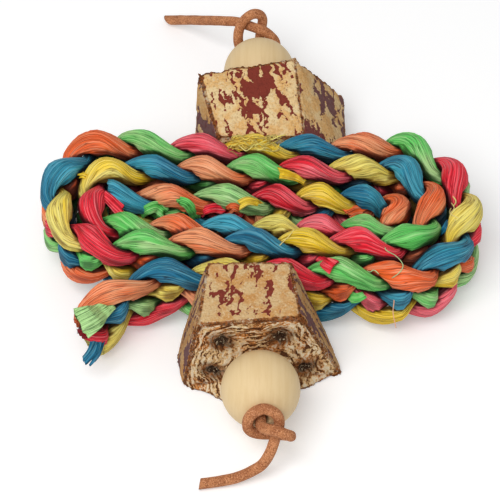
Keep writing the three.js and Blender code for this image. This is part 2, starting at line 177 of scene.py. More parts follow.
# Waves in which the fibres bunch round a strand: count, size, shift, rate and seed
BUNCHES = ((1, 0.32, 4, 0.6, 40), (2, 0.16, 5, 0.7, 50))
FIBRE_RADIUS = 3.2
END_RAGGED = 0.3
RAGGED_RATE = 0.37
RAGGED_SHIFT = 50
LONGER_ENDS = {"blue": 4.4}  # how far a strand's inner cut end stands out beyond the others'
SHORTER_ENDS = {"yellow": 4.0, "blue": 2.5}  # how far a strand's outer cut end falls short of the others'
END_HOLLOW = 2  # rings between a cut end and the bottom of its hollow
STRAND_SHIFTS = {"wander": 7.3, "noise": 5.3, "drift": 3.7, "fibre": 700}  # between strands, in each noise
SEEDS = {
    "across": 11, "through": 12, "pleat": 21, "ripple": 22, "lump": 23, "tone": 24, "ragged": 25, "drift": 26,
    "twist": 30, "fray": 91, "crinkle": 95, "bend": 96, "tip": 97, "fray_bends": 100,
}

# Shade in the gaps between strands
SHADE_REACH = 7  # how near a strand has to be to shade another
SHADE_RAYS = 14
SHADE_SIDES = 4  # of so many sides, one is tested
SHADE_START = 0.3
SHADE_RANGE = (0.1, 0.5)
DEEPEST_TONE = 0.55  # brightness of the painted shade in the darkest gaps, as a share of the dark lines'

# Splices. A cut end is a colour, places in the photo's 500 by 500 picture, two widths and a tone, where 1 is
# pale. A loose fibre is a colour, places and a radius.
TAG_THICKNESS = 0.35
TAG_SIDES = 24
TAG_STEP = 0.5
TAG_RAGGED = 1.4
TIP_RATE = 1.7
CRINKLE = (0.28, 1.3)  # depth and rate across a cut end
BEND = (0.3, 0.4)  # depth and rate along it
TAG_FIBRE = 5.0  # place of cut ends in the noise along the fibres
TAG_SHIFT = 9
WIDE_TAG = 3.0  # over this width a cut end is less ragged
TAG_LIFTS = (-1.2, 0.6, 1.1, 1.3)  # how far a cut end stands off the plait, from its root to its tip
TAGS = (
    ("green", ((140, 217), (147, 210), (156, 207), (164, 212)), (1.8, 3.6), 0.3),
    ("green", ((198, 219), (192, 210), (186, 203), (180, 201)), (3.6, 2.4), 0.3),
    ("red", ((200, 216), (206, 210), (214, 208), (223, 209)), (1.6, 2.8), 0.3),
    ("red", ((103, 194), (108, 198), (114, 204), (121, 211)), (2.4, 3.4), 0.3),
    ("orange", ((243, 214), (238, 209), (233, 207), (229, 210)), (1.6, 2.6), 0.3),
    ("yellow", ((263, 206), (255, 202), (247, 201), (241, 204)), (1.4, 2.6), 0.3),
    ("yellow", ((306, 183), (297, 178), (288, 175), (279, 173)), (1.4, 3.0), 0.3),
    ("orange", ((372, 213), (364, 210), (356, 210), (347, 214)), (1.6, 3.2), 0.3),
    ("red", ((314, 256), (320, 259), (326, 263), (333, 267)), (1.4, 4.2), 0.3),
    ("green", ((368, 292), (362, 296), (356, 298), (350, 297)), (1.4, 3.2), 0.3),
    ("yellow", ((88, 178), (85, 176), (82, 175), (79, 175)), (1.2, 1.8), 0.3),
    ("green", ((112, 304), (102, 311), (92, 318), (80, 324)), (3.0, 8.6), 0.95),
    ("blue", ((98, 340), (97, 346), (94, 353), (88, 360)), (2.2, 1.2), 0.3),
    ("blue", ((95, 339), (93, 345), (90, 351), (85, 357)), (2.2, 1.2), 0.3),
    ("blue", ((101, 341), (100, 347), (98, 354), (93, 362)), (2.0, 1.0), 0.3),
    # This one is no cut end: a strip set in a deep gap between turns, where the floor showed through,
    # standing in for the shade there
    ("blue", ((449, 221), (447, 225), (445, 229), (443, 234)), (1.4, 2.2), 0.3),
)
FIBRE_SIDES = 6
FIBRE_LIFT = 0.5
FIBRE_END_LIFTS = (-0.4, 0.2)
FIBRE_SPREAD = 7  # of the fibres' tones
FIBRE_FADE = 0.6  # how far a fibre's dye has faded
FIBRES = (
    ("yellow", ((274, 251), (281, 244), (288, 237), (294, 230)), 0.12),
    ("green", ((386, 242), (386, 250), (396, 256), (403, 266), (399, 273), (392, 278)), 0.13),
    ("orange", ((394, 293), (394, 302), (393, 312), (396, 328)), 0.13),
    ("yellow", ((452, 195), (456, 202), (450, 210), (455, 220)), 0.18),
    ("yellow", ((449, 200), (454, 207), (451, 214), (458, 218)), 0.15),
    ("green", ((366, 270), (370, 272), (374, 270), (379, 274)), 0.15),
)
FRAY_COUNT = 48
FRAY_PLACE = (224, 135, 270, 152)  # left, top, right and bottom in the picture
FRAY_STEP = (8, 8)  # how far a fibre goes on at each bend, at most
FRAY_BENDS = 4
FRAY_RADIUS = 0.13
FRAY_LIFT = 2.0
FRAY_HEIGHTS = 5
FRAY_SHIFT = 3.7
FRAY_FADE = 0.1
PICTURE_SIZE = 500
DEEPEST_DROP = 1.2  # how far a cut end or fibre drops from one of its places to the next

# Dyes: the two ends of the colour's drift, the pale streaks, and the dark lines, whose colour also paints
# shade
LEAF_COLOURS = {
    "blue": ((10, 110, 146), (58, 164, 190), (142, 214, 226), (4, 32, 52)),
    "orange": ((250, 104, 42), (250, 162, 112), (254, 212, 174), (130, 40, 10)),
    "green": ((98, 212, 98), (176, 222, 144), (218, 244, 188), (28, 82, 24)),
    "red": ((246, 30, 54), (250, 106, 120), (254, 178, 184), (106, 4, 16)),
    "yellow": ((250, 210, 40), (242, 226, 112), (254, 246, 176), (126, 84, 8)),
}
LEAF_SHINE = (0.55, 0.3)
LEAF_BUMP = (0.7, 0.4)
LEAF_NOISES = {
    "veins": ((1, 1, 0.045), 1.8, 2, 0.55),
    "threads": ((1, 1, 0.03), 3.4, 2, 0.6),
    "lines": ((1, 1, 0.03), 1.9, 2, 0.5),
    "blotch": ((0.3, 0.3, 0.12), 1, 2),
}
HUE_SHARES = {"tone": 0.4, "drift": 0.6, "blotch": 0.8}
VEIN_ROUGHNESS = (0.3, 0.7, 0.46, 0.66)  # two values of the veins, and the roughness there
HAIR_GROOVE = (0, 0.03, -0.4, 0)  # two distances from a hair line, and the height there
LEAF_TINTS = (
    ("hue", 0.3, 0.72, 1, "other"),
    ("veins", 0.52, 0.66, 0.2, "pale"),
    ("threads", 0.52, 0.62, 0.28, "pale"),
    ("threads", 0.46, 0.38, 0.45, "deep"),
    ("veins", 0.44, 0.34, 0.25, "deep"),
    ("hair", 0.022, 0.008, 0.7, "deep"),
    # Painted shade in the ripples' creases and in the low strips of the folds
    ("crease", 0.45, 0.95, 0.3, "deep"),
    ("ridge", 0.45, 0.15, 0.5, "deep"),
    # Painted shade where other strands press in, pinch a strand or close over it
    ("pressed", 0.25, 0.6, 0.75, "deep"),
    ("pressed", 0.5, 1, 0.9, "deepest_painted_shade"),
)

# Bark blocks
BARK_VOXEL = 0.36
BARK_SMOOTHING = 4
WEAR_SMOOTHING = 40
RELAX_SHARE = 0.5
OUTER_FACE = (12, 0.75, -0.9)  # least area, and limits of its direction along y and z
SAME_FACING = 0.999
LEAST_DEPTH = 0.05
DEPTH_SOFTNESS = 4
LAYER_SPACING = 1.25
LAYER_DEPTH = 0.16
LAYER_WAVES = (1.2, 0.14)  # size and rate
GROOVE_RANGE = (0, 0.9)
BORE_CLEAR = (0.6, 2.4)  # from the bore's edge, where the relief starts and is full
WEAR_RANGE = (0.02, 0.4)
CUT_FACING = (0.55, 0.8)
SIDE_FACING = (0.45, 0.7)
FLAT_TOP = (0.1, 0.7)  # most of a cut and least direction upwards that count as the top
FLAT_SIDE = (0.1, 0.9)
ISLAND_DEPTH = 0.25
ISLAND_EDGE = 0.03
ISLAND_WARP = (0.9, 0.6)  # size and rate
EDGE_CHIP = 1.0
CHIP_LEAST = 0.25
CHIP_RATE = 0.45
CHIP_GRAIN = (0.35, 1.3)  # size and rate
LUMPS = (0.2, 0.5)  # size and rate
LUMPS_OFF_CUTS = 0.4
KNOT_RADIUS = 3.2
KNOT_DEPTH = 0.9
KNOT_FACING = (0.4, 0.7)
KNOT_LAYERS = 1.5  # how far a knot bends the layers
KNOT_GRAIN = (0.6, 0.8, 1.2)  # mean, size and rate
BARK_SEEDS = {"warp": (60, 70, 80), "top": 20, "side": 25, "chip": 30, "grain": 35, "lump": 40, "knot": 50}
# The two blocks. A knot is x and z on the outer cut. A patch, where the dark islands gather, is x, y, half
# width, half length and strength, which is under 0 to keep clear. A stretch is how fast the islands change
# along x, y and z, and a cover is their share of a face.
FRONT_BARK = {
    "seed": 100,
    "knots": ((-9.7, 21.8), (4.9, 22.0), (-12.1, 9.0), (11.4, 6.9)),
    "patches": ((0, -48, 30, 2.5, -0.5), (-3, -31, 5, 4, 0.25), (-7, -38, 4, 4, -0.12)),
    "tans": ((216, 182, 132), (206, 152, 90)),
    "lean": -0.1,
    "top_stretch": (0.8, 0.32, 0.24),
    "top_cover": 0.2,
    "side_cover": 0.42,
    "side_stretch": (0.1, 0.7, 0.09),
}
REAR_BARK = {
    "seed": 200,
    "knots": (),
    "patches": ((-1, 46, 6.5, 4.5, 0.6), (-2, 37, 2.6, 7, 0.7), (19, 44, 4, 6, 0.9), (9, 32, 4, 10, -0.1)),
    "tans": ((238, 210, 158), (230, 182, 116)),
    "lean": 0.4,
    "top_stretch": (0.8, 0.2, 0.24),
    "top_cover": 0.36,
    "side_cover": 0.42,
    "side_stretch": (0.32, 0.11, 0.3),
}
BARK_SHINE = (0.9, 0.15)
BARK_BUMP = (0.9, 0.5)
BARK_NOISES = {
    "coarse": (0.2, 3, 0.6), "fine": (0.9, 4, 0.6), "grit": (1.7, 3, 0.6), "speck": (0.75, 4, 0.68),
}
FLECK_NOISE = (1.0, 3, 0.62)
FLECK_STRETCH = (0.28, 0.28, 0.28)  # with the place
FLECK_LAYERS = (0.8, 0.6, 0.7)  # with the layer
LAYER_BEND = 2.5
LAYER_SHOW = 0.07
LAYER_GRIT = 0.35
ISLAND_FRINGE = 0.5
TAN_DRIFT = (0.4, 0.62)
TAN_TINTS = (
    ("grit", 0.52, 0.68, 0.6, (228, 208, 172)),
    ("grit", 0.46, 0.32, 0.55, (168, 122, 76)),
    ("fine", 0.52, 0.66, 0.35, (184, 132, 78)),
    ("top", 0.85, 0.5, 0.4, (158, 112, 68)),
)
# Coats over the tan, one after the other: islands, layers, chips, cracks, scorched rings and knots. Each has
# the sources that show it, with two values and how strong it is there, then its base colour and tints.
BARK_COATS = (
    ((("edge", -0.02, 0.02, 0, 1),), (112, 82, 82), (
        ("top", 0.55, 0.85, 1, (132, 56, 44)), ("fine", 0.45, 0.7, 0.5, (104, 44, 36)),
    )),
    ((("cut", 0.3, 0.7, 0, 1),), (222, 184, 130), (
        ("coarse", 0.4, 0.6, 1, (200, 132, 70)), ("broken", 0.475, 0.4, 0.88, (228, 212, 182)),
        ("broken", 0.51, 0.57, 0.8, (146, 84, 38)), ("broken", 0.56, 0.62, 0.9, (74, 40, 20)),
    )),
    ((("wear", 0.1, 0.5, 0, 1), ("fine", 0.42, 0.55, 0.2, 1)), (62, 36, 18), (
        ("speck", 0.42, 0.47, 1, (168, 104, 54)), ("speck", 0.53, 0.58, 1, (230, 216, 188)),
    )),
    ((("wear", 0.25, 0.5, 0, 1), ("coarse", 0.42, 0.52, 0.35, 0.9)), (70, 36, 16), (
        ("grit", 0.4, 0.6, 1, (150, 86, 40)),
    )),
    ((("knot", 0.05, 0.5, 0, 0.8),), (58, 30, 14), (("fine", 0.4, 0.6, 1, (138, 80, 36)),)),
    ((("knot", 0.55, 0.85, 0, 0.9),), (38, 22, 12), (("grit", 0.56, 0.64, 1, (196, 178, 146)),)),
)
LINES_SUNK = (0.52, 0.62)
LINE_HEIGHT = -0.6
GRIT_HEIGHT = 0.7

# Beads
BEAD_RADIUS = 10
BORE_RADIUS = 2
BEAD_RIM = 0.5
BEAD_SIDES = 72
BEAD_STEPS = 40
BEAD_RIM_STEPS = 6
BEAD_SHINE = (0.5, 0.3)
BEAD_NOISES = {"grain": ((1, 0.05, 0.2), 0.8, 3, 0.55), "pores": ((1, 0.06, 0.3), 2.2, 2)}
BEAD_BASE = (225, 198, 151)
BEAD_TINTS = (("grain", 0.35, 0.7, 1, (220, 191, 142)), ("pores", 0.58, 0.72, 0.08, (190, 152, 102)))


def srgb(red, green, blue):
    """Linear colour of a screen colour given as three numbers up to 255, by the standard's own numbers."""
    def linear(value):
        share = value / 255
        return share / 12.92 if share <= 0.04045 else ((share + 0.055) / 1.055) ** 2.4
    return linear(red), linear(green), linear(blue), 1


# Seeded noise, from large odd numbers that scatter the bits of a lattice point
HASH_AXES = np.array([374761393, 668265263, 1274126177])
HASH_SEED = 974711
HASH_STEPS = ((13, 1103515245), (15, 668265263))  # shift and factor
HASH_MASK = 0xFFFFFFFF
HASH_SHIFT = 12
HASH_LEVELS = 0xFFFF


def lattice_value(cells, seed):
    """Fixed number from -1 to 1 for each point of an integer lattice."""
    code = (cells @ HASH_AXES + seed * HASH_SEED) & HASH_MASK
    for shift, factor in HASH_STEPS:
        code = ((code ^ (code >> shift)) * factor) & HASH_MASK
    return ((code >> HASH_SHIFT) & HASH_LEVELS) / (HASH_LEVELS / 2) - 1


def noise(points, seed):
    """Smooth noise from -1 to 1 at points in space."""
    points = np.asarray(points, dtype=float)
    cells = np.floor(points).astype(np.int64)
    share = points - cells
    share = share * share * (3 - 2 * share)
    total = 0
    for corner in np.ndindex(2, 2, 2):
        weight = np.where(np.array(corner) == 1, share, 1 - share).prod(axis=-1)
        total = total + weight * lattice_value(cells + np.array(corner), seed)
    return total


def fractal(points, seed, octaves=4):
    """Noise with finer and weaker noise on it."""
    return sum(noise(points * 2 ** octave, seed + octave) / 2 ** octave for octave in range(octaves))


def wander(places, seed):
    """Smooth noise from -1 to 1 along a line."""
    return noise(np.stack([places, 0 * places, 0 * places], axis=-1), seed)


def as_share(value):
    """A number from -1 to 1 as one from 0 to 1."""
    return HALF + HALF * value


def smoothstep(value, low, high):
    share = np.clip((value - low) / (high - low), 0, 1)
    return share * share * (3 - 2 * share)


# Scene, camera and light

def link_object(name, data):
    made = bpy.data.objects.new(name, data)
    bpy.context.scene.collection.objects.link(made)
    return made


def aim(thing, place, back):
    """Puts a camera or lamp at a place in metres, looking away from a direction."""
    thing.location = place
    thing.rotation_mode = "QUATERNION"
    thing.rotation_quaternion = back.to_track_quat("Z", "Y")


def make_camera():
    data = bpy.data.cameras.new("camera")
    data.lens = LENS
    data.sensor_width = SENSOR
    camera = link_object("camera", data)
    back = Vector(CAMERA_BACK)
    aim(camera, (Vector(AIM) + back * CAMERA_DISTANCE) * MM, back)
    bpy.context.scene.camera = camera


class Tree:
    """Node tree of a material or a world, with short calls for adding nodes."""

    MIX_INPUTS = (0, 6, 7)  # factor and two colours, by place among the mix node's sockets
    MIX_OUTPUT = 2

    def __init__(self, owner):
        owner.use_nodes = True
        self.tree = owner.node_tree
        self.nodes = self.tree.nodes

    def set(self, socket, value):
        if isinstance(value, bpy.types.NodeSocket):
            self.tree.links.new(value, socket)
        else:
            socket.default_value = value

    def add(self, kind, inputs=None, **settings):
        node = self.nodes.new(kind)
        for name, value in settings.items():
            setattr(node, name, value)
        for name, value in (inputs or {}).items():
            self.set(node.inputs[name], value)
        return node

    def math(self, operation, first, second=0.0):
        return self.add("ShaderNodeMath", {0: first, 1: second}, operation=operation).outputs[0]

    def mix(self, factor, first, second):
        inputs = dict(zip(self.MIX_INPUTS, (factor, first, second)))
        return self.add("ShaderNodeMix", inputs, data_type="RGBA").outputs[self.MIX_OUTPUT]

    def noise(self, vector, scale, detail, roughness=HALF):
        inputs = {"Vector": vector, "Scale": scale, "Detail": detail, "Roughness": roughness}
        return self.add("ShaderNodeTexNoise", inputs).outputs["Fac"]

    def stretched_noises(self, vector, noises):
        return {
            name: self.noise(self.stretched(vector, stretch), *values)
            for name, (stretch, *values) in noises.items()
        }

    def range(self, value, low, high, new_low=0.0, new_high=1.0):
        inputs = {"Value": value, "From Min": low, "From Max": high, "To Min": new_low, "To Max": new_high}
        node = self.add("ShaderNodeMapRange", inputs, interpolation_type="SMOOTHSTEP")
        return node.outputs["Result"]

    def stretched(self, vector, scale):
        return self.add("ShaderNodeVectorMath", {0: vector, 1: scale}, operation="MULTIPLY").outputs[0]

    def attribute(self, name):
        return self.add("ShaderNodeAttribute", attribute_name=name).outputs["Vector"]

    def parts(self, name, labels):
        """The three parts of an attribute, by label."""
        outputs = self.add("ShaderNodeSeparateXYZ", {"Vector": self.attribute(name)}).outputs
        return dict(zip(labels, outputs))

    def about_zero(self, value, size):
        """A number about a half as one about 0, times a size."""
        return self.math("MULTIPLY", self.math("SUBTRACT", value, HALF), size)

    def place(self):
        """Place on the piece, in millimetres."""
        coordinates = self.add("ShaderNodeTexCoord").outputs["Object"]
        return self.stretched(coordinates, (1 / MM, 1 / MM, 1 / MM))

    def bump(self, height, strength, distance):
        inputs = {"Height": height, "Strength": strength, "Distance": distance * MM}
        return self.add("ShaderNodeBump", inputs).outputs["Normal"]


def new_material(name, roughness, specular):
    """A material, its node tree and its shader."""
    material = bpy.data.materials.new(name)
    tree = Tree(material)
    shader = tree.nodes["Principled BSDF"]
    shader.inputs["Roughness"].default_value = roughness
    shader.inputs["Specular IOR Level"].default_value = specular
    return material, tree, shader


def camera_share(tree):
    """1 for what the camera sees straight, mirrored or through glass, and 0 for light."""
    path = tree.add("ShaderNodeLightPath").outputs
    seen = tree.math("MAXIMUM", path["Is Camera Ray"], path["Is Glossy Ray"])
    return tree.math("MAXIMUM", seen, path["Is Transmission Ray"])


def make_world():
    world = bpy.data.worlds.new("studio")
    bpy.context.scene.world = world
    tree = Tree(world)
    strength = tree.add("ShaderNodeMapRange", {"Value": camera_share(tree), "To Min": WORLD_LIGHT})
    background = tree.nodes["Background"]
    background.inputs["Color"].default_value = (1, 1, 1, 1)
    tree.set(background.inputs["Strength"], strength.outputs["Result"])


def make_key():
    data = bpy.data.lights.new("key", "AREA")
    data.size = KEY_SIZE
    data.energy = KEY_POWER
    aim(link_object("key", data), KEY_PLACE, Vector(KEY_PLACE))


def make_floor():
    half = FLOOR_SIZE / 2
    corners = [(-half, -half, 0), (half, -half, 0), (half, half, 0), (-half, half, 0)]
    mesh = bpy.data.meshes.new("floor")
    mesh.from_pydata(corners, [], [(0, 1, 2, 3)])
    material, tree, shader = new_material("floor", 1, 0)
    shader.inputs["Base Color"].default_value = FLOOR_COLOUR
    shader.inputs["Emission Color"].default_value = (1, 1, 1, 1)
    glow = tree.add("ShaderNodeMapRange", {"Value": camera_share(tree), "To Max": FLOOR_GLOW})
    tree.set(shader.inputs["Emission Strength"], glow.outputs["Result"])
    mesh.materials.append(material)
    link_object("floor", mesh)


def painted(tree, sources, base, tints):
    """A base colour with tints over it."""
    colour = srgb(*base)
    for source, low, high, share, tint in tints:
        colour = tree.mix(tree.range(sources[source], low, high, 0, share), colour, srgb(*tint))
    return colour


# Meshes

def round_angles(count):
    return np.arange(count) * 2 * np.pi / count


def unit(vectors):
    return vectors / np.linalg.norm(vectors, axis=-1, keepdims=True)


def tube_faces(rings, sides):
    """Quads between equal rings, and fans to a middle point at each end."""
    side = np.arange(sides)
    after = (side + 1) % sides
    start = np.arange(rings - 1)[:, None] * sides
    quads = np.stack([start + side, start + after, start + sides + after, start + sides + side], axis=-1)
    first_middle = rings * sides
    last = (rings - 1) * sides
    fans = [(first_middle, b, a) for a, b in zip(side.tolist(), after.tolist())]
    fans += [(first_middle + 1, last + a, last + b) for a, b in zip(side.tolist(), after.tolist())]
    return quads.reshape(-1, 4).tolist() + fans


def with_middles(rings, inside=0):
    """Values on rings (ring, side, part) as one list, with two more for the caps, set in from the ends."""
    rings = np.asarray(rings)
    ends = np.stack([rings[inside].mean(axis=0), rings[-1 - inside].mean(axis=0)])
    return np.concatenate([rings.reshape(-1, rings.shape[-1]), ends])


def make_piece(name, points, faces, material, body, node, attributes=None):
    """Smooth mesh from points in millimetres, riding on a body and replacing a CAD node."""
    mesh = bpy.data.meshes.new(name)
    mesh.from_pydata((np.asarray(points) * MM).tolist(), [], faces)
    mesh.shade_smooth()
    mesh.materials.append(material)
    for key, vectors in (attributes or {}).items():
        layer = mesh.attributes.new(key, "FLOAT_VECTOR", "POINT")
        layer.data.foreach_set("vector", np.asarray(vectors, dtype=np.float32).ravel())
    piece = link_object(name, mesh)
    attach(piece, body)
    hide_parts(node)
    return piece


def smooth_route(route, step):
    """Centripetal Catmull-Rom curve through the points, cut into steps of about equal length."""
    points = np.asarray(route, dtype=float)
    ends = np.concatenate([[2 * points[0] - points[1]], points, [2 * points[-1] - points[-2]]])
    knots = np.sqrt(np.linalg.norm(np.diff(ends, axis=0), axis=1))
    pieces = []
    for index in range(len(points) - 1):
        p0, p1, p2, p3 = ends[index:index + 4]
        d0, d1, d2 = knots[index:index + 3]
        tangent_1 = ((p1 - p0) / d0 - (p2 - p0) / (d0 + d1) + (p2 - p1) / d1) * d1
        tangent_2 = ((p2 - p1) / d1 - (p3 - p1) / (d1 + d2) + (p3 - p2) / d2) * d1
        share = np.linspace(0, 1, ROUTE_FINENESS, endpoint=False)[:, None]
        cubic = 2 * p1 - 2 * p2 + tangent_1 + tangent_2
        square = -3 * p1 + 3 * p2 - 2 * tangent_1 - tangent_2
        pieces.append(p1 + share * (tangent_1 + share * (square + share * cubic)))
    fine = np.concatenate(pieces + [points[-1:]])
    along = np.concatenate([[0], np.cumsum(np.linalg.norm(np.diff(fine, axis=0), axis=1))])
    places = np.linspace(0, along[-1], round(along[-1] / step) + 1)
    line = np.stack([np.interp(places, along, fine[:, axis]) for axis in range(3)], axis=1)
    return line, along[-1]


def route_frames(line):
    """Directions along a line, and two sideways directions that turn with it as little as possible."""
    along = unit(np.gradient(line, axis=0))
    sides = [unit(np.cross(along[0], FIRST_SIDE))]
    for direction in along[1:]:
        sides.append(unit(sides[-1] - direction * (sides[-1] @ direction)))
    sides = np.array(sides)
    return along, sides, np.cross(along, sides)


def round_rings(line, radii, sides):
    """Rings of a round tube. The radii are one number, or one for each ring and side."""
    _, first, second = route_frames(line)
    angles = round_angles(sides)
    radii = np.broadcast_to(radii, (len(line), sides))
    reach_first = (radii * np.cos(angles))[:, :, None]
    reach_second = (radii * np.sin(angles))[:, :, None]
    return line[:, None, :] + reach_first * first[:, None, :] + reach_second * second[:, None, :]


# Lace

def leather_material():
    material, tree, shader = new_material("leather", *LEATHER_SHINE)
    place = tree.place()
    sources = {name: tree.noise(place, *values) for name, values in LEATHER_NOISES.items()}
    tree.set(shader.inputs["Base Color"], painted(tree, sources, LEATHER_BASE, LEATHER_TINTS))
    tree.set(shader.inputs["Normal"], tree.bump(sources["grain"], *LEATHER_BUMP))
    return material


def lace_rings(line, seed, slant):
    """Rings of the lace, a little uneven, with a slanted cut at the far end."""
    steps = np.arange(len(line))[:, None]
    angles = round_angles(LACE_SIDES)
    spots = np.stack(np.broadcast_arrays(np.cos(angles), np.sin(angles), steps * LACE_WOBBLE_STEP), axis=-1)
    wobble = LACE_WOBBLE * noise(spots * LACE_WOBBLE_RATE, seed)
    rings = round_rings(line, LACE_DIAMETER / 2 + wobble, LACE_SIDES)
    along, _, _ = route_frames(line)
    share = np.clip(1 - (len(line) - 1 - steps) * LACE_STEP / CUT_LENGTH, 0, 1)
    shift = slant * share * ((rings - line[:, None]) @ CAMERA_UP)
    return rings + shift[:, :, None] * along[:, None]


def lace_piece(name, node, rings, material):
    faces = tube_faces(len(rings), LACE_SIDES)
    return make_piece(name, with_middles(rings), faces, material, BODY, node)


def lace_end(name, node, route, outward, slant, material):
    points = [(right, outward * (POLE_Y + out), LACE_HEIGHT + up) for right, up, out in route]
    line, length = smooth_route(points, LACE_STEP)
    piece = lace_piece(name, node, lace_rings(line, len(route), slant), material)


def make_lace():
    material = leather_material()
    lace_end("front_knot", "front_lace_end", FRONT_LACE_ROUTE, -1, FRONT_CUT_SLANT, material)
    lace_end("rear_knot", "rear_lace_end", REAR_LACE_ROUTE, 1, REAR_CUT_SLANT, material)
    reach = POLE_Y + FRONT_LACE_ROUTE[0][2]
    count = round(2 * reach / LACE_STEP)
    line = np.array([(0, y, LACE_HEIGHT) for y in np.linspace(-reach, reach, count)])
    lace_piece("lace_run", "lace_core", round_rings(line, LACE_DIAMETER / 2, LACE_SIDES), material)


# Plait: middle line of the hank, places of the strands in it, and their shapes

def along_section(section, distance):
    """Place and heading at a distance along a straight or bent section of the hank's middle line."""
    x, y, heading, _, bend = section
    if bend == 0:
        return x + distance * math.cos(heading), y + distance * math.sin(heading), heading
    turned = heading + distance * bend
    x += (math.sin(turned) - math.sin(heading)) / bend
    y -= (math.cos(turned) - math.cos(heading)) / bend
    return x, y, turned


def hank_sections():
    """Sections of the middle line, each with its start and bend, and the whole length."""
    pieces = [(RIGHT_TURN_X - INNER_END_X, 0)]
    for turn in range(HALF_TURNS):
        radius = FIRST_TURN_RADIUS + turn * WINDING_PITCH / 2
        run_end = LEFT_TURN_X if turn + 1 < HALF_TURNS else -PEEL_X
        pieces += [(math.pi * radius, -1 / radius), (RIGHT_TURN_X + run_end, 0)]
    pieces += [(PEEL_RADIUS * PEEL_ANGLE, 1 / PEEL_RADIUS), (PEEL_LENGTH, 0)]
    sections = []
    place = (INNER_END_X, FIRST_TURN_RADIUS, 0.0)
    start = 0.0
    for length, bend in pieces:
        sections.append((*place, start, bend))
        place = along_section(sections[-1], length)
        start += length
    return sections, start


SECTIONS, PLAIT_LENGTH = hank_sections()
SECTION_STARTS = np.array([start for _, _, _, start, _ in SECTIONS])
LACE_LENGTHS = np.array([start + abs(x) for x, _, _, start, bend in SECTIONS if bend == 0])
LACE_LENGTHS = LACE_LENGTHS[:len(LOBES_AT_LACE)]
FIRST_LOBE = LOBES_AT_LACE[0] - LACE_LENGTHS[0] / END_LOBE_LENGTH
LAST_LOBE = LOBES_AT_LACE[-1] + (PLAIT_LENGTH - LACE_LENGTHS[-1]) / END_LOBE_LENGTH


def length_at(lobes):
    counts = [FIRST_LOBE, *LOBES_AT_LACE, LAST_LOBE]
    before_start = np.minimum(lobes - FIRST_LOBE, 0) * END_LOBE_LENGTH
    return before_start + np.interp(lobes, counts, [0, *LACE_LENGTHS, PLAIT_LENGTH])


def swing(phase):
    """Across the plait's width: from edge to edge, between a triangle wave and a sine wave."""
    turn = phase % 1
    triangle = 1 - 4 * np.abs((turn + QUARTER) % 1 - HALF)
    return (triangle + np.sin(2 * np.pi * turn)) / 2


def weave(phase):
    """Through the plait's thickness: over one strand, under the next."""
    half = phase % HALF
    folded = np.where(half > HALF - LAST_CROSSING, half - HALF, half)
    crossing = np.cos(2 * np.pi * (folded + LAST_CROSSING) / OVER_UNDER)
    edge = -np.cos(np.pi * (folded - LAST_CROSSING) / OVER_UNDER)
    return np.where(folded <= LAST_CROSSING, crossing, edge)


def waist(phase):
    """0 in the middle of each lobe of a strand, and 1 where it dives between two others."""
    half = phase % HALF
    edge = np.sin(np.pi * (half - QUARTER) / (2 * LAST_CROSSING)) ** 2
    crossing = np.cos(np.pi * half / CROSSING) ** 2
    return np.where(np.abs(half - QUARTER) < LAST_CROSSING, edge, crossing)


EYE_OFFSET = EDGE_SWING * (swing(LAST_CROSSING) - swing(CROSSING / 2)) / 2


def lift_at(lobes):
    """Height of the plait's middle above the lace, which passes between two crossings of each run."""
    lifts = np.where(LOBES_AT_LACE % 1 == 0, EYE_OFFSET, -EYE_OFFSET)
    place = np.interp(lobes, LOBES_AT_LACE, np.arange(len(lifts)))
    run = np.minimum(place.astype(int), len(lifts) - 2)
    share = (1 - np.cos(np.pi * (place - run))) / 2
    return lifts[run] + share * (lifts[run + 1] - lifts[run])


def phase_of(strand, lobes):
    return QUARTER + (lobes - strand) / STRAND_COUNT


def strand_middles(lobes):
    """Middles of the five strands across the plait and through it, a little unevenly plaited."""
    middles = []
    for strand in range(STRAND_COUNT):
        phase = phase_of(strand, lobes)
        place = lobes * LEAF_WANDER_RATE + STRAND_SHIFTS["wander"] * strand
        across = EDGE_SWING * swing(phase) + LEAF_WANDER[0] * wander(place, SEEDS["across"])
        through = CROSSING_OFFSET * weave(phase) + LEAF_WANDER[1] * wander(place, SEEDS["through"])
        middles.append((across, through))
    return np.array(middles)


def soft_least(limits):
    """Rounded minimum of several limits."""
    total = sum(np.maximum(limit, TINY) ** -float(LEAF_SOFTNESS) for limit in limits)
    return total ** (-1 / LEAF_SOFTNESS)


def outer_bulge(lobes, x):
    """Extra swelling on the outer side of the outermost turn, away from the blocks."""
    outermost = smoothstep(lobes, OUTER_TURN_LOBE - 1, OUTER_TURN_LOBE + 1)
    return OUTER_BULGE * outermost * smoothstep(np.abs(x), SQUEEZE_REACH, SQUEEZE_REACH + SQUEEZE_FADE)


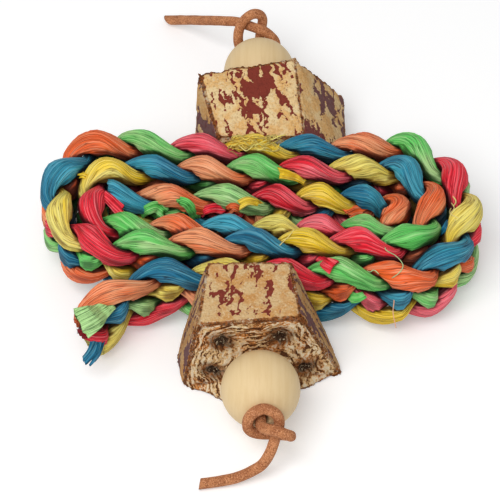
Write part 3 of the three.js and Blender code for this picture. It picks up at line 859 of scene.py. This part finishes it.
def strand_reach(strand, lobes, centres, angles):
    """Reach of a strand from its middle in each direction, and its share of the free oval.

    Neighbours, the plait's two faces and the lace press the oval in."""
    middles = strand_middles(lobes)[:, :, :, None]
    across, through = middles[strand]
    way_across = np.cos(angles)
    way_through = np.sin(angles)
    fullness = 1 - LEAF_WAIST * waist(phase_of(strand, lobes))[:, None]
    limits = [fullness / np.hypot(way_across / LEAF_HALF_WIDTH, way_through / LEAF_HALF_THICKNESS)]
    inner = PLAIT_THICKNESS / 2 - through
    outer = PLAIT_THICKNESS / 2 + outer_bulge(lobes, centres["x"])[:, None] + through
    limits.append(np.where(way_through > 0, inner, outer) / np.maximum(np.abs(way_through), TINY))
    for other in range(STRAND_COUNT):
        if other != strand:
            gap_across = middles[other][0] - across
            gap_through = middles[other][1] - through
            distance = np.hypot(gap_across, gap_through)
            facing = np.maximum(way_across * gap_across + way_through * gap_through, TINY)
            limits.append((distance - LEAF_GAP) / 2 * distance / facing)
    away = np.abs(centres["length"][:, None] - LACE_LENGTHS[None]).min(axis=1)
    eye = (LACE_DIAMETER / 2 + EYE_CLEARANCE) * np.clip(1 - away / EYE_HALF_LENGTH, 0, 1)
    from_lace = -centres["lift"][:, None] - across
    towards = np.maximum(np.sign(from_lace) * way_across, TINY)
    limits.append(np.where(eye[:, None] > 0, (np.abs(from_lace) - eye[:, None]) / towards, 1 / TINY))
    reach = soft_least(limits)
    return reach, reach / limits[0]


def hank_centres(lobes):
    """Place, heading, length and lift of the plait's middle line at lobe counts."""
    lengths = length_at(lobes)
    found = np.clip(np.searchsorted(SECTION_STARTS, lengths, side="right") - 1, 0, len(SECTIONS) - 1)
    within = lengths - SECTION_STARTS[found]
    places = [along_section(SECTIONS[index], distance) for index, distance in zip(found, within)]
    x, y, heading = np.array(places).T
    return {"x": x, "y": y, "heading": heading, "length": lengths, "lift": lift_at(lobes)}


def into_hank(centres, across, through):
    """Bends the flat plait into the hank and presses it together round the lace."""
    heading = centres["heading"][:, None]
    x = centres["x"][:, None] + through * np.sin(heading)
    y = centres["y"][:, None] - through * np.cos(heading)
    beyond = np.clip((np.abs(x) - SQUEEZE_REACH) / SQUEEZE_FADE, 0, 1)
    pressed = 1 - SQUEEZE * (1 + np.cos(np.pi * beyond)) / 2
    z = LACE_HEIGHT + centres["lift"][:, None] + across
    return np.stack([x, HANK_Y + y * pressed, z], axis=-1)


def strand_noise(lobes, around, rates, strand, seed):
    """Noise from 0 to 1 over lobe counts and a second place, different for each strand."""
    parts = np.broadcast_arrays(lobes * rates[0], around * rates[1], STRAND_SHIFTS["noise"] * strand)
    return as_share(noise(np.stack(parts, axis=-1), seed))


def fibre_angles(strand, lobes, fibres):
    """Directions in which the fibres of a strand lie round its middle: they twist and bunch together."""
    along = lobes[:, None]
    angles = fibres[None] + TWIST_PER_LOBE * along + wander(along * TWIST_RATE, SEEDS["twist"] + strand)
    for count, size, shift, rate, seed in BUNCHES:
        angles = angles + size * np.sin(count * fibres[None] + shift * wander(along * rate, seed + strand))
    return angles


def leaf_folds(strand, lobes, fibres):
    """How deep each fibre lies below a strand's fullest shape, with each strip's tone, and the ridges and
    creases that set its painted shade.
    """
    along = lobes[:, None]
    strip = fibres[None] * PLEAT_STRIPS / (2 * np.pi) + HALF / LEAF_SIDES
    index = np.floor(strip)
    share = strip - index
    depth = strand_noise(along, index, PLEAT_RATES, strand, SEEDS["pleat"])
    before = strand_noise(along, (index - 1) % PLEAT_STRIPS, PLEAT_RATES, strand, SEEDS["pleat"])
    rise = np.clip(share / PLEAT_EDGE, 0, 1)
    step = before * (1 - rise) + depth * share ** PLEAT_CURVE * rise
    crease = 1 - np.abs(np.sin(fibres[None] * RIPPLE_COUNT / 2))
    strength = strand_noise(along, fibres[None], RIPPLE_RATES, strand, SEEDS["ripple"])
    ripple = crease * (RIPPLE_LEAST + (1 - RIPPLE_LEAST) * strength)
    lump = strand_noise(along, np.sin(fibres[None]), LUMP_RATES, strand, SEEDS["lump"])
    folds = PLEAT_DEPTH * step + RIPPLE_DEPTH * ripple + LUMP_DEPTH * lump
    tone = strand_noise(along, index, TONE_RATES, strand, SEEDS["tone"])
    return folds, tone, 1 - step, ripple


def ragged(rings, headings):
    """Pulls the fibres of the two cut ends to uneven lengths."""
    sides = rings.shape[1]
    for ring, sign in ((0, -1), (-1, 1)):
        way = sign * np.array([np.cos(headings[ring]), np.sin(headings[ring]), 0])
        place = np.arange(sides) * RAGGED_RATE + RAGGED_SHIFT * rings[ring, 0, 0]
        pull = END_RAGGED * wander(place, SEEDS["ragged"])
        rings[ring] += pull[:, None] * way
    return rings


def strand_shape(strand):
    """Points, faces and attributes of a strand."""
    first_lobe = FIRST_LOBE - LONGER_ENDS.get(STRAND_NAMES[strand], 0) / END_LOBE_LENGTH
    last_lobe = LAST_LOBE - SHORTER_ENDS.get(STRAND_NAMES[strand], 0) / END_LOBE_LENGTH
    count = round((last_lobe - first_lobe) * LEAF_RINGS_PER_LOBE) + 1
    lobes = np.linspace(first_lobe, last_lobe, count)
    fibres = round_angles(LEAF_SIDES)
    angles = fibre_angles(strand, lobes, fibres)
    centres = hank_centres(lobes)
    reach, freedom = strand_reach(strand, lobes, centres, angles)
    folds, tone, ridge, crease = leaf_folds(strand, lobes, fibres)
    kept = PRESSED_FOLDS + (1 - PRESSED_FOLDS) * smoothstep(freedom, *FREE_RANGE)
    reach = reach - folds * kept * np.clip(reach / SHALLOW_REACH, 0, 1)
    middle = strand_middles(lobes)[strand]
    across = middle[0][:, None] + reach * np.cos(angles)
    through = middle[1][:, None] + reach * np.sin(angles)
    rings = ragged(into_hank(centres, across, through), centres["heading"])
    along = centres["length"][:, None] + STRAND_SHIFTS["fibre"] * strand
    drift = as_share(wander(lobes * DRIFT_RATE + STRAND_SHIFTS["drift"] * strand, SEEDS["drift"]))[:, None]
    painted_pinch_shade = PINCH_SHADE * waist(phase_of(strand, lobes))[:, None]
    attributes = {
        "fibre": (FIBRE_RADIUS * np.cos(fibres), FIBRE_RADIUS * np.sin(fibres), along),
        "leaf": (tone, ridge, drift),
        # Its second part is painted shade, where neighbours press the strand and where it dives between two
        # others
        "crease": (crease, 1 - freedom + painted_pinch_shade, 0),
    }
    return with_middles(rings, END_HOLLOW), tube_faces(count, LEAF_SIDES), spread(attributes, angles.shape)


def spread(attributes, shape):
    """Attributes on a tube's points, from parts that change along it, round it or not at all."""
    full = {}
    for name, parts in attributes.items():
        values = np.stack([np.broadcast_to(part, shape) for part in parts], axis=-1)
        full[name] = with_middles(values, END_HOLLOW)
    return full


def spread_directions(count):
    """Directions spread evenly over a sphere, each a golden angle round from the one before."""
    index = np.arange(count) + HALF
    height = 1 - 2 * index / count
    angle = index * math.pi * (3 - math.sqrt(5))
    radius = np.sqrt(1 - height ** 2)
    return np.stack([radius * np.cos(angle), radius * np.sin(angle), height], axis=1)


def shade_on(plait, rings):
    """How far other strands close in on a strand: 0 in the open and 1 deep in a gap."""
    sample = rings[:, ::SHADE_SIDES]
    outward = unit(sample - rings.mean(axis=1, keepdims=True))
    starts = (sample + SHADE_START * outward).reshape(-1, 3).tolist()
    total = 0
    weights = 0
    for way in spread_directions(SHADE_RAYS):
        facing = (outward @ way).ravel()
        ways = (np.sign(facing)[:, None] * way).tolist()
        found = [plait.ray_cast(start, ray, SHADE_REACH)[3] for start, ray in zip(starts, ways)]
        near = np.array([0 if distance is None else 1 - distance / SHADE_REACH for distance in found])
        total = total + np.abs(facing) * near
        weights = weights + np.abs(facing)
    shade = (total / weights).reshape(sample.shape[:2])
    place = np.arange(rings.shape[1]) / SHADE_SIDES
    before = np.floor(place).astype(int)
    after = (before + 1) % sample.shape[1]
    return shade[:, before] * (1 - place + before) + shade[:, after] * (place - before)


def add_shade(plait, shape):
    """Paints shade into a strand's colour in the gaps between strands, on top of the painted shade where
    others press it.
    """
    points, _, attributes = shape
    shade = shade_on(plait, points[:-2].reshape(-1, LEAF_SIDES, 3)).ravel()
    # The crease attribute's second part holds the strand's painted shade
    pressed = attributes["crease"][:-2, 1]
    pressed[:] = np.maximum(pressed, smoothstep(shade, *SHADE_RANGE))


# Cut ends and loose fibres of the splices

def picture_ray(across, down):
    """Camera's place and direction of sight through a place in the picture."""
    focal = PICTURE_SIZE * LENS / SENSOR
    half = PICTURE_SIZE / 2
    way = np.array([(across - half) / focal, 0, 0]) - CAMERA_UP * (down - half) / focal - CAMERA_BACK
    return np.array(AIM) + CAMERA_BACK * CAMERA_DISTANCE, unit(way)


def seen_places(plait, places, lifts):
    """Places on the plait seen at places in the picture, lifted towards the camera.

    The line starts at the first depth found. Beside the plait and over a gap, it keeps about the last one."""
    rays = [picture_ray(across, down) for across, down in places]
    depths = [plait.ray_cast(Vector(eye), Vector(way))[3] for eye, way in rays]
    depth = next(found for found in depths if found is not None)
    points = []
    for (eye, way), found, lift in zip(rays, depths, lifts):
        if found is not None:
            depth = min(found, depth + DEEPEST_DROP)
        points.append(eye + way * (depth - lift))
    return points


def flat_rings(line, widths):
    """Rings of a thin crinkled strip that faces the camera."""
    along = unit(np.gradient(line, axis=0))
    side = unit(np.cross(CAMERA_BACK, along))
    face = np.cross(side, along)
    angles = round_angles(TAG_SIDES)
    across = widths[:, None] / 2 * np.cos(angles)
    crinkle = CRINKLE[0] * wander(across * CRINKLE[1] + line[:1, :1], SEEDS["crinkle"])
    crinkle = crinkle + BEND[0] * wander(np.arange(len(line)) * BEND[1], SEEDS["bend"])[:, None]
    depth = TAG_THICKNESS / 2 * np.sin(angles) + crinkle
    rings = line[:, None] + across[:, :, None] * side[:, None] + depth[:, :, None] * face[:, None]
    pull = TAG_RAGGED * min(1, WIDE_TAG / widths[-1])
    tip = pull * wander(across[-1] * TIP_RATE + line[0, 0], SEEDS["tip"])[:, None] * along[-1]
    rings[-2] += tip / 2
    rings[-1] += tip
    return rings, across


def tag_shape(plait, places, widths, tone):
    """A cut end: a thin strip that comes out of the plait, with a ragged tip."""
    line, _ = smooth_route(seen_places(plait, places, TAG_LIFTS), TAG_STEP)
    rings, across = flat_rings(line, np.linspace(*widths, len(line)))
    along = np.arange(len(line))[:, None] * TAG_STEP + line[0, 0] * TAG_SHIFT
    attributes = {"fibre": (across, TAG_FIBRE, along), "leaf": (tone, 1, tone), "crease": (0, 0, 0)}
    return with_middles(rings), tube_faces(len(line), TAG_SIDES), spread(attributes, across.shape)


def fibre_shape(plait, places, radius, lift, fade):
    """A loose fibre over the plait, sunk in at its first end."""
    first_lift, last_lift = FIBRE_END_LIFTS
    lifts = [first_lift] + [lift] * (len(places) - 2) + [last_lift]
    line, _ = smooth_route(seen_places(plait, places, lifts), TAG_STEP)
    rings = round_rings(line, radius, FIBRE_SIDES)
    across, down = places[0]
    attributes = {
        "fibre": (across, down, line[:, :1]),
        "leaf": (down % 1, down * FIBRE_SPREAD % 1, across % 1),
        "crease": (0, 0, fade),
    }
    return with_middles(rings), tube_faces(len(line), FIBRE_SIDES), spread(attributes, rings.shape[:2])


def random_pairs(places, seed):
    """Two numbers from 0 to 1 for each place."""
    return as_share(np.stack([wander(places, seed), wander(places, seed + 1)], axis=1))


def fray_places():
    """Places of the many yellow fibres in front of the rear block, which bend on their way to the right."""
    left, top, right, bottom = FRAY_PLACE
    fibre = np.arange(FRAY_COUNT) * FRAY_SHIFT
    size = np.array([right - left, bottom - top])
    places = [np.array([left, top]) + size * random_pairs(fibre, SEEDS["fray"])]
    for bend in range(FRAY_BENDS):
        step = np.array(FRAY_STEP) * (random_pairs(fibre, SEEDS["fray_bends"] + 2 * bend) - (0, HALF))
        places.append(np.maximum(places[-1] + step, (left, top)))
    return np.stack(places, axis=1)


def joined(shapes):
    """Several shapes as one: points, faces and attributes."""
    starts = np.cumsum([0] + [len(points) for points, _, _ in shapes]).tolist()
    points = np.concatenate([shape[0] for shape in shapes])
    faces = []
    for shape, start in zip(shapes, starts):
        faces += [tuple(corner + start for corner in face) for face in shape[1]]
    attributes = {name: np.concatenate([shape[2][name] for shape in shapes]) for name in shapes[0][2]}
    return points, faces, attributes


def leaf_sources(tree):
    """Noises along the fibres and the parts of a strand's attributes, by name."""
    sources = tree.stretched_noises(tree.attribute("fibre"), LEAF_NOISES)
    sources.update(tree.parts("leaf", ("tone", "ridge", "drift")))
    # Creases and where the leaf gets painted shade, then how far a loose fibre's dye has faded
    sources.update(tree.parts("crease", ("crease", "pressed", "fade")))
    tone = tree.math("MULTIPLY", sources["tone"], HUE_SHARES["tone"])
    hue = tree.math("ADD", tone, tree.math("MULTIPLY", sources["drift"], HUE_SHARES["drift"]))
    sources["hue"] = tree.math("ADD", hue, tree.about_zero(sources["blotch"], HUE_SHARES["blotch"]))
    sources["hair"] = tree.math("ABSOLUTE", tree.math("SUBTRACT", sources["lines"], HALF))
    return sources


def leaf_material(name, base, other, pale, deep):
    """Dyed dry leaf: pale streaks and thin dark lines along its fibres, with painted shade in the folds and
    gaps.
    """
    material, tree, shader = new_material(f"leaf_{name}", *LEAF_SHINE)
    sources = leaf_sources(tree)
    # Colour of the painted shade in the darkest gaps
    deepest_painted_shade = [DEEPEST_TONE * value for value in deep]
    dyes = {"other": other, "pale": pale, "deep": deep, "deepest_painted_shade": deepest_painted_shade}
    colour = painted(tree, sources, base, [(*tint, dyes[dye]) for *tint, dye in LEAF_TINTS])
    tree.set(shader.inputs["Base Color"], tree.mix(sources["fade"], colour, srgb(*pale)))
    tree.set(shader.inputs["Roughness"], tree.range(sources["veins"], *VEIN_ROUGHNESS))
    height = tree.math("ADD", sources["veins"], sources["threads"])
    height = tree.math("ADD", height, tree.range(sources["hair"], *HAIR_GROOVE))
    tree.set(shader.inputs["Normal"], tree.bump(height, *LEAF_BUMP))
    return material


def make_strands():
    """Each strand with its own cut ends and loose fibres as one piece."""
    shapes = {name: [strand_shape(strand)] for strand, name in enumerate(STRAND_NAMES)}
    points, faces, _ = joined([shape[0] for shape in shapes.values()])
    plait = BVHTree.FromPolygons(points.tolist(), faces)
    for name in STRAND_NAMES:
        add_shade(plait, shapes[name][0])
    for name, places, widths, tone in TAGS:
        shapes[name].append(tag_shape(plait, places, widths, tone))
    for name, places, radius in FIBRES:
        shapes[name].append(fibre_shape(plait, places, radius, FIBRE_LIFT, FIBRE_FADE))
    for index, places in enumerate(fray_places()):
        lift = FRAY_LIFT * (index % FRAY_HEIGHTS) / (FRAY_HEIGHTS - 1)
        shapes["yellow"].append(fibre_shape(plait, places, FRAY_RADIUS, lift, FRAY_FADE))
    for name in STRAND_NAMES:
        points, faces, attributes = joined(shapes[name])
        material = leaf_material(name, *LEAF_COLOURS[name])
        make_piece(f"{name}_leaf", points, faces, material, BODY, f"strand_{name}", attributes)


# Bark blocks

def fine_mesh(node):
    """Even fine mesh of a CAD node."""
    copy = link_object("fine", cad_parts[node].data.copy())
    remesh = copy.modifiers.new("fine", "REMESH")
    remesh.mode = "VOXEL"
    remesh.voxel_size = BARK_VOXEL * MM
    graph = bpy.context.evaluated_depsgraph_get()
    mesh = bpy.data.meshes.new_from_object(copy.evaluated_get(graph))
    bpy.data.objects.remove(copy)
    return mesh


def mesh_values(items, name, width, kind=float):
    """Values of a mesh's points or edges as rows."""
    flat = np.zeros(len(items) * width, dtype=kind)
    items.foreach_get(name, flat)
    return flat.reshape(-1, width)


def mesh_normals(mesh, points):
    """Outward directions of a mesh with its points moved."""
    mesh.vertices.foreach_set("co", (points * MM).ravel())
    mesh.update()
    return mesh_values(mesh.vertex_normals, "vector", 3, np.float32).astype(float)


def relaxed(points, edges, rounds):
    """Points drawn towards the mean of their neighbours."""
    both = np.concatenate([edges, edges[:, ::-1]])
    count = np.bincount(both[:, 0], minlength=len(points))[:, None]
    for _ in range(rounds):
        sums = [np.bincount(both[:, 0], points[both[:, 1], axis], len(points)) for axis in range(3)]
        points = points + RELAX_SHARE * (np.stack(sums, axis=1) / count - points)
    return points


def outer_planes(node):
    """Large sloping faces of a CAD block, the bark's own and not the cuts, as directions and offsets."""
    least_area, most_y, least_z = OUTER_FACE
    planes = []
    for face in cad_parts[node].data.polygons:
        normal = np.array(face.normal)
        if face.area / MM ** 2 > least_area and abs(normal[1]) < most_y and normal[2] > least_z:
            offset = normal @ np.array(face.center) / MM
            if all(normal @ known < SAME_FACING for known, _ in planes):
                planes.append((normal, offset))
    return planes


def layer_depth(points, planes):
    """Depth below the nearest outer face, rounded where two faces meet."""
    depths = [np.maximum(offset - points @ normal, LEAST_DEPTH) for normal, offset in planes]
    return sum(depth ** -float(DEPTH_SOFTNESS) for depth in depths) ** (-1 / DEPTH_SOFTNESS)


def knot_share(points, knots):
    share = np.zeros(len(points))
    for x, z in knots:
        distance = np.hypot(points[:, 0] - x, points[:, 2] - z)
        share = np.maximum(share, np.exp(-(distance / KNOT_RADIUS) ** 2))
    return share


def fenced(points, node, outward):
    """Points kept above the floor and behind the block's inner cut, which lies against the plait."""
    low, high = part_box(node)
    inner = (high if outward < 0 else low)[1] / MM
    y = np.minimum(points[:, 1], inner) if outward < 0 else np.maximum(points[:, 1], inner)
    return np.stack([points[:, 0], y, np.maximum(points[:, 2], 0)], axis=1)


def patch_strength(points, patches):
    """How strongly the dark islands gather at each point."""
    total = 0
    for x, y, half_width, half_length, strength in patches:
        away = ((points[:, 0] - x) / half_width) ** 2 + ((points[:, 1] - y) / half_length) ** 2
        total = total + strength * np.exp(-away)
    return total


def islands(points, normals, cut, block):
    """Height of the flaking skin: over 0 on the dark islands, which cover set shares of top and sides."""
    seed = block["seed"]
    size, rate = ISLAND_WARP
    warp = np.stack([fractal(points * rate, seed + shift, 3) for shift in BARK_SEEDS["warp"]], axis=1)
    places = points + size * warp
    patches = patch_strength(points, block["patches"])
    leaning = places + np.outer(block["lean"] * places[:, 1], (1, 0, 0))
    on_top = fractal(leaning * block["top_stretch"], seed + BARK_SEEDS["top"]) + patches
    on_side = fractal(places * block["side_stretch"], seed + BARK_SEEDS["side"], 3) + patches
    side = smoothstep(np.abs(normals[:, 0]), *SIDE_FACING)
    top_points = (cut < FLAT_TOP[0]) & (normals[:, 2] > FLAT_TOP[1])
    side_points = (cut < FLAT_SIDE[0]) & (side > FLAT_SIDE[1])
    top_level = np.quantile(on_top[top_points], 1 - block["top_cover"])
    side_level = np.quantile(on_side[side_points], 1 - block["side_cover"])
    return (on_top - top_level) * (1 - side) + (on_side - side_level) * side


def bark_relief(points, cut, wear, knot, layer, skin, seed):
    """How far each point stands off the smooth block, for grooves, islands, chips, lumps and knots."""
    groove = smoothstep(np.cos(2 * np.pi * layer / LAYER_SPACING), *GROOVE_RANGE)
    hollow = smoothstep(skin, -ISLAND_EDGE, ISLAND_EDGE) * (1 - cut)
    grain, grain_rate = CHIP_GRAIN
    chips = CHIP_LEAST + np.clip(fractal(points * CHIP_RATE, seed + BARK_SEEDS["chip"]), 0, 1)
    chips = chips + grain * noise(points * grain_rate, seed + BARK_SEEDS["grain"])
    shift = -LAYER_DEPTH * groove * cut - ISLAND_DEPTH * hollow - EDGE_CHIP * wear * chips
    lump, lump_rate = LUMPS
    lumps = lump * fractal(points * lump_rate, seed + BARK_SEEDS["lump"])
    shift += lumps * (LUMPS_OFF_CUTS + (1 - LUMPS_OFF_CUTS) * cut)
    mean, size, rate = KNOT_GRAIN
    return shift - knot * KNOT_DEPTH * (mean + size * noise(points * rate, seed + BARK_SEEDS["knot"]))


def bark_block(name, node, body, block):
    """A block with worn edges, layered cuts and a flaking skin, from the CAD node's own shape."""
    mesh = fine_mesh(node)
    points = mesh_values(mesh.vertices, "co", 3) / MM
    edges = mesh_values(mesh.edges, "vertices", 2, np.int64)
    smooth = relaxed(points, edges, BARK_SMOOTHING)
    worn = relaxed(smooth, edges, WEAR_SMOOTHING)
    normals = mesh_normals(mesh, relaxed(smooth, edges, 2 * BARK_SMOOTHING))
    from_bore = np.hypot(points[:, 0], points[:, 2] - LACE_HEIGHT) - BORE_RADIUS
    clear = smoothstep(from_bore, *BORE_CLEAR)
    outward = np.sign(points[:, 1].mean())
    wear = smoothstep(np.linalg.norm(worn - smooth, axis=1), *WEAR_RANGE) * clear
    cut = smoothstep(np.abs(normals[:, 1]), *CUT_FACING)
    knot = knot_share(points, block["knots"]) * smoothstep(normals[:, 1] * outward, *KNOT_FACING) * clear
    wave, wave_rate = LAYER_WAVES
    layer = layer_depth(points, outer_planes(node)) + wave * fractal(points * wave_rate, block["seed"])
    layer = layer + KNOT_LAYERS * knot
    skin = islands(points, normals, cut, block)
    shift = bark_relief(points, cut, wear, knot, layer, skin, block["seed"])
    moved = fenced(smooth + normals * (shift * clear)[:, None], node, outward)
    faces = [tuple(face.vertices) for face in mesh.polygons]
    attributes = {
        "bark": np.stack([layer, cut, skin], axis=1),
        "wear": np.stack([wear, knot, np.clip(normals[:, 2], 0, 1)], axis=1),
    }
    make_piece(name, moved, faces, bark_material(name, *block["tans"]), body, node, attributes)
    bpy.data.meshes.remove(mesh)


def broken_layers(tree, place, sources):
    """Over a half on the dark layers of a cut, which flecks and grit break up."""
    layer = sources["layer"]
    across = tree.add("ShaderNodeCombineXYZ", {"X": layer, "Y": layer, "Z": layer}).outputs[0]
    flow = {0: tree.stretched(place, FLECK_STRETCH), 1: tree.stretched(across, FLECK_LAYERS)}
    flow = tree.add("ShaderNodeVectorMath", flow, operation="ADD").outputs[0]
    flecks = tree.noise(flow, *FLECK_NOISE)
    bent = tree.math("ADD", layer, tree.math("MULTIPLY", sources["fine"], LAYER_BEND))
    phase = tree.math("DIVIDE", bent, LAYER_SPACING)
    wave = tree.math("COSINE", tree.math("MULTIPLY", phase, 2 * math.pi))
    broken = tree.math("ADD", tree.math("MULTIPLY", wave, LAYER_SHOW), flecks)
    return tree.math("ADD", broken, tree.about_zero(sources["grit"], LAYER_GRIT))


def bark_sources(tree):
    """Noises and the parts of a block's attributes, by name."""
    place = tree.place()
    sources = {name: tree.noise(place, *values) for name, values in BARK_NOISES.items()}
    sources.update(tree.parts("bark", ("layer", "cut", "skin")))
    sources.update(tree.parts("wear", ("wear", "knot", "top")))
    sources["edge"] = tree.math("ADD", sources["skin"], tree.about_zero(sources["fine"], ISLAND_FRINGE))
    sources["broken"] = broken_layers(tree, place, sources)
    return sources


def bark_colour(tree, sources, pale, dull):
    """Tan outer face and the coats over it."""
    colour = painted(tree, sources, pale, (("coarse", *TAN_DRIFT, 1, dull), *TAN_TINTS))
    for shown, base, tints in BARK_COATS:
        shares = [tree.range(sources[source], *values) for source, *values in shown]
        share = shares[0] if len(shares) == 1 else tree.math("MULTIPLY", *shares)
        colour = tree.mix(share, colour, painted(tree, sources, base, tints))
    return colour


def bark_material(name, pale, dull):
    """Sawn bark: broken dark layers on the cuts, and red-brown islands on a tan outer face."""
    material, tree, shader = new_material(name, *BARK_SHINE)
    sources = bark_sources(tree)
    tree.set(shader.inputs["Base Color"], bark_colour(tree, sources, pale, dull))
    sunk = tree.math("MULTIPLY", sources["cut"], LINE_HEIGHT)
    lines = tree.math("MULTIPLY", tree.range(sources["broken"], *LINES_SUNK), sunk)
    height = tree.math("ADD", sources["fine"], lines)
    height = tree.math("ADD", height, tree.math("MULTIPLY", sources["grit"], GRIT_HEIGHT))
    tree.set(shader.inputs["Normal"], tree.bump(height, *BARK_BUMP))
    return material


def make_blocks():
    bark_block("front_bark", "front_block", "front_block_body", FRONT_BARK)
    bark_block("rear_bark", "rear_block", "rear_block_body", REAR_BARK)


# Beads

def bead_profile():
    """Half outline of a bead from pole to pole: distance from the lace and place along it."""
    edge = math.asin((BORE_RADIUS + BEAD_RIM) / BEAD_RADIUS)
    angles = np.linspace(edge, math.pi - edge, BEAD_STEPS)
    outside = np.stack([BEAD_RADIUS * np.sin(angles), BEAD_RADIUS * np.cos(angles)], axis=1)
    turns = np.linspace(0, math.pi / 2, BEAD_RIM_STEPS)[1:]
    height = BEAD_RADIUS * math.cos(edge) - BEAD_RIM
    rim = np.stack([BORE_RADIUS + BEAD_RIM * (1 - np.sin(turns)), height + BEAD_RIM * np.cos(turns)], axis=1)
    flipped = rim[::-1] * np.array([1, -1])
    return np.concatenate([rim[::-1], outside, flipped[::-1]])


def make_bead(name, node, body, outward, material):
    profile = bead_profile()
    angles = round_angles(BEAD_SIDES)
    centre = outward * (POLE_Y - BEAD_RADIUS)
    count = len(profile)
    radius = profile[:, :1]
    y = np.broadcast_to(centre - profile[:, 1:], (count, BEAD_SIDES))
    rings = np.stack([radius * np.cos(angles), y, LACE_HEIGHT - radius * np.sin(angles)], axis=-1)
    ring = np.arange(count)[:, None] * BEAD_SIDES
    next_ring = np.roll(ring, -1, axis=0)
    side = np.arange(BEAD_SIDES)
    after = (side + 1) % BEAD_SIDES
    quads = np.stack([ring + side, ring + after, next_ring + after, next_ring + side], axis=-1).reshape(-1, 4)
    make_piece(name, rings.reshape(-1, 3), quads.tolist(), material, body, node)


def bead_material():
    """Smooth pale wood with faint lines of grain across the lace."""
    material, tree, shader = new_material("bead_wood", *BEAD_SHINE)
    sources = tree.stretched_noises(tree.place(), BEAD_NOISES)
    tree.set(shader.inputs["Base Color"], painted(tree, sources, BEAD_BASE, BEAD_TINTS))
    return material


def make_beads():
    material = bead_material()
    make_bead("front_wood_bead", "front_bead", "front_bead_body", -1, material)
    make_bead("rear_wood_bead", "rear_bead", "rear_bead_body", 1, material)


bpy.context.scene.view_settings.view_transform = "Standard"
make_camera()
make_world()
make_key()
make_floor()
make_lace()
make_strands()
make_blocks()
make_beads()
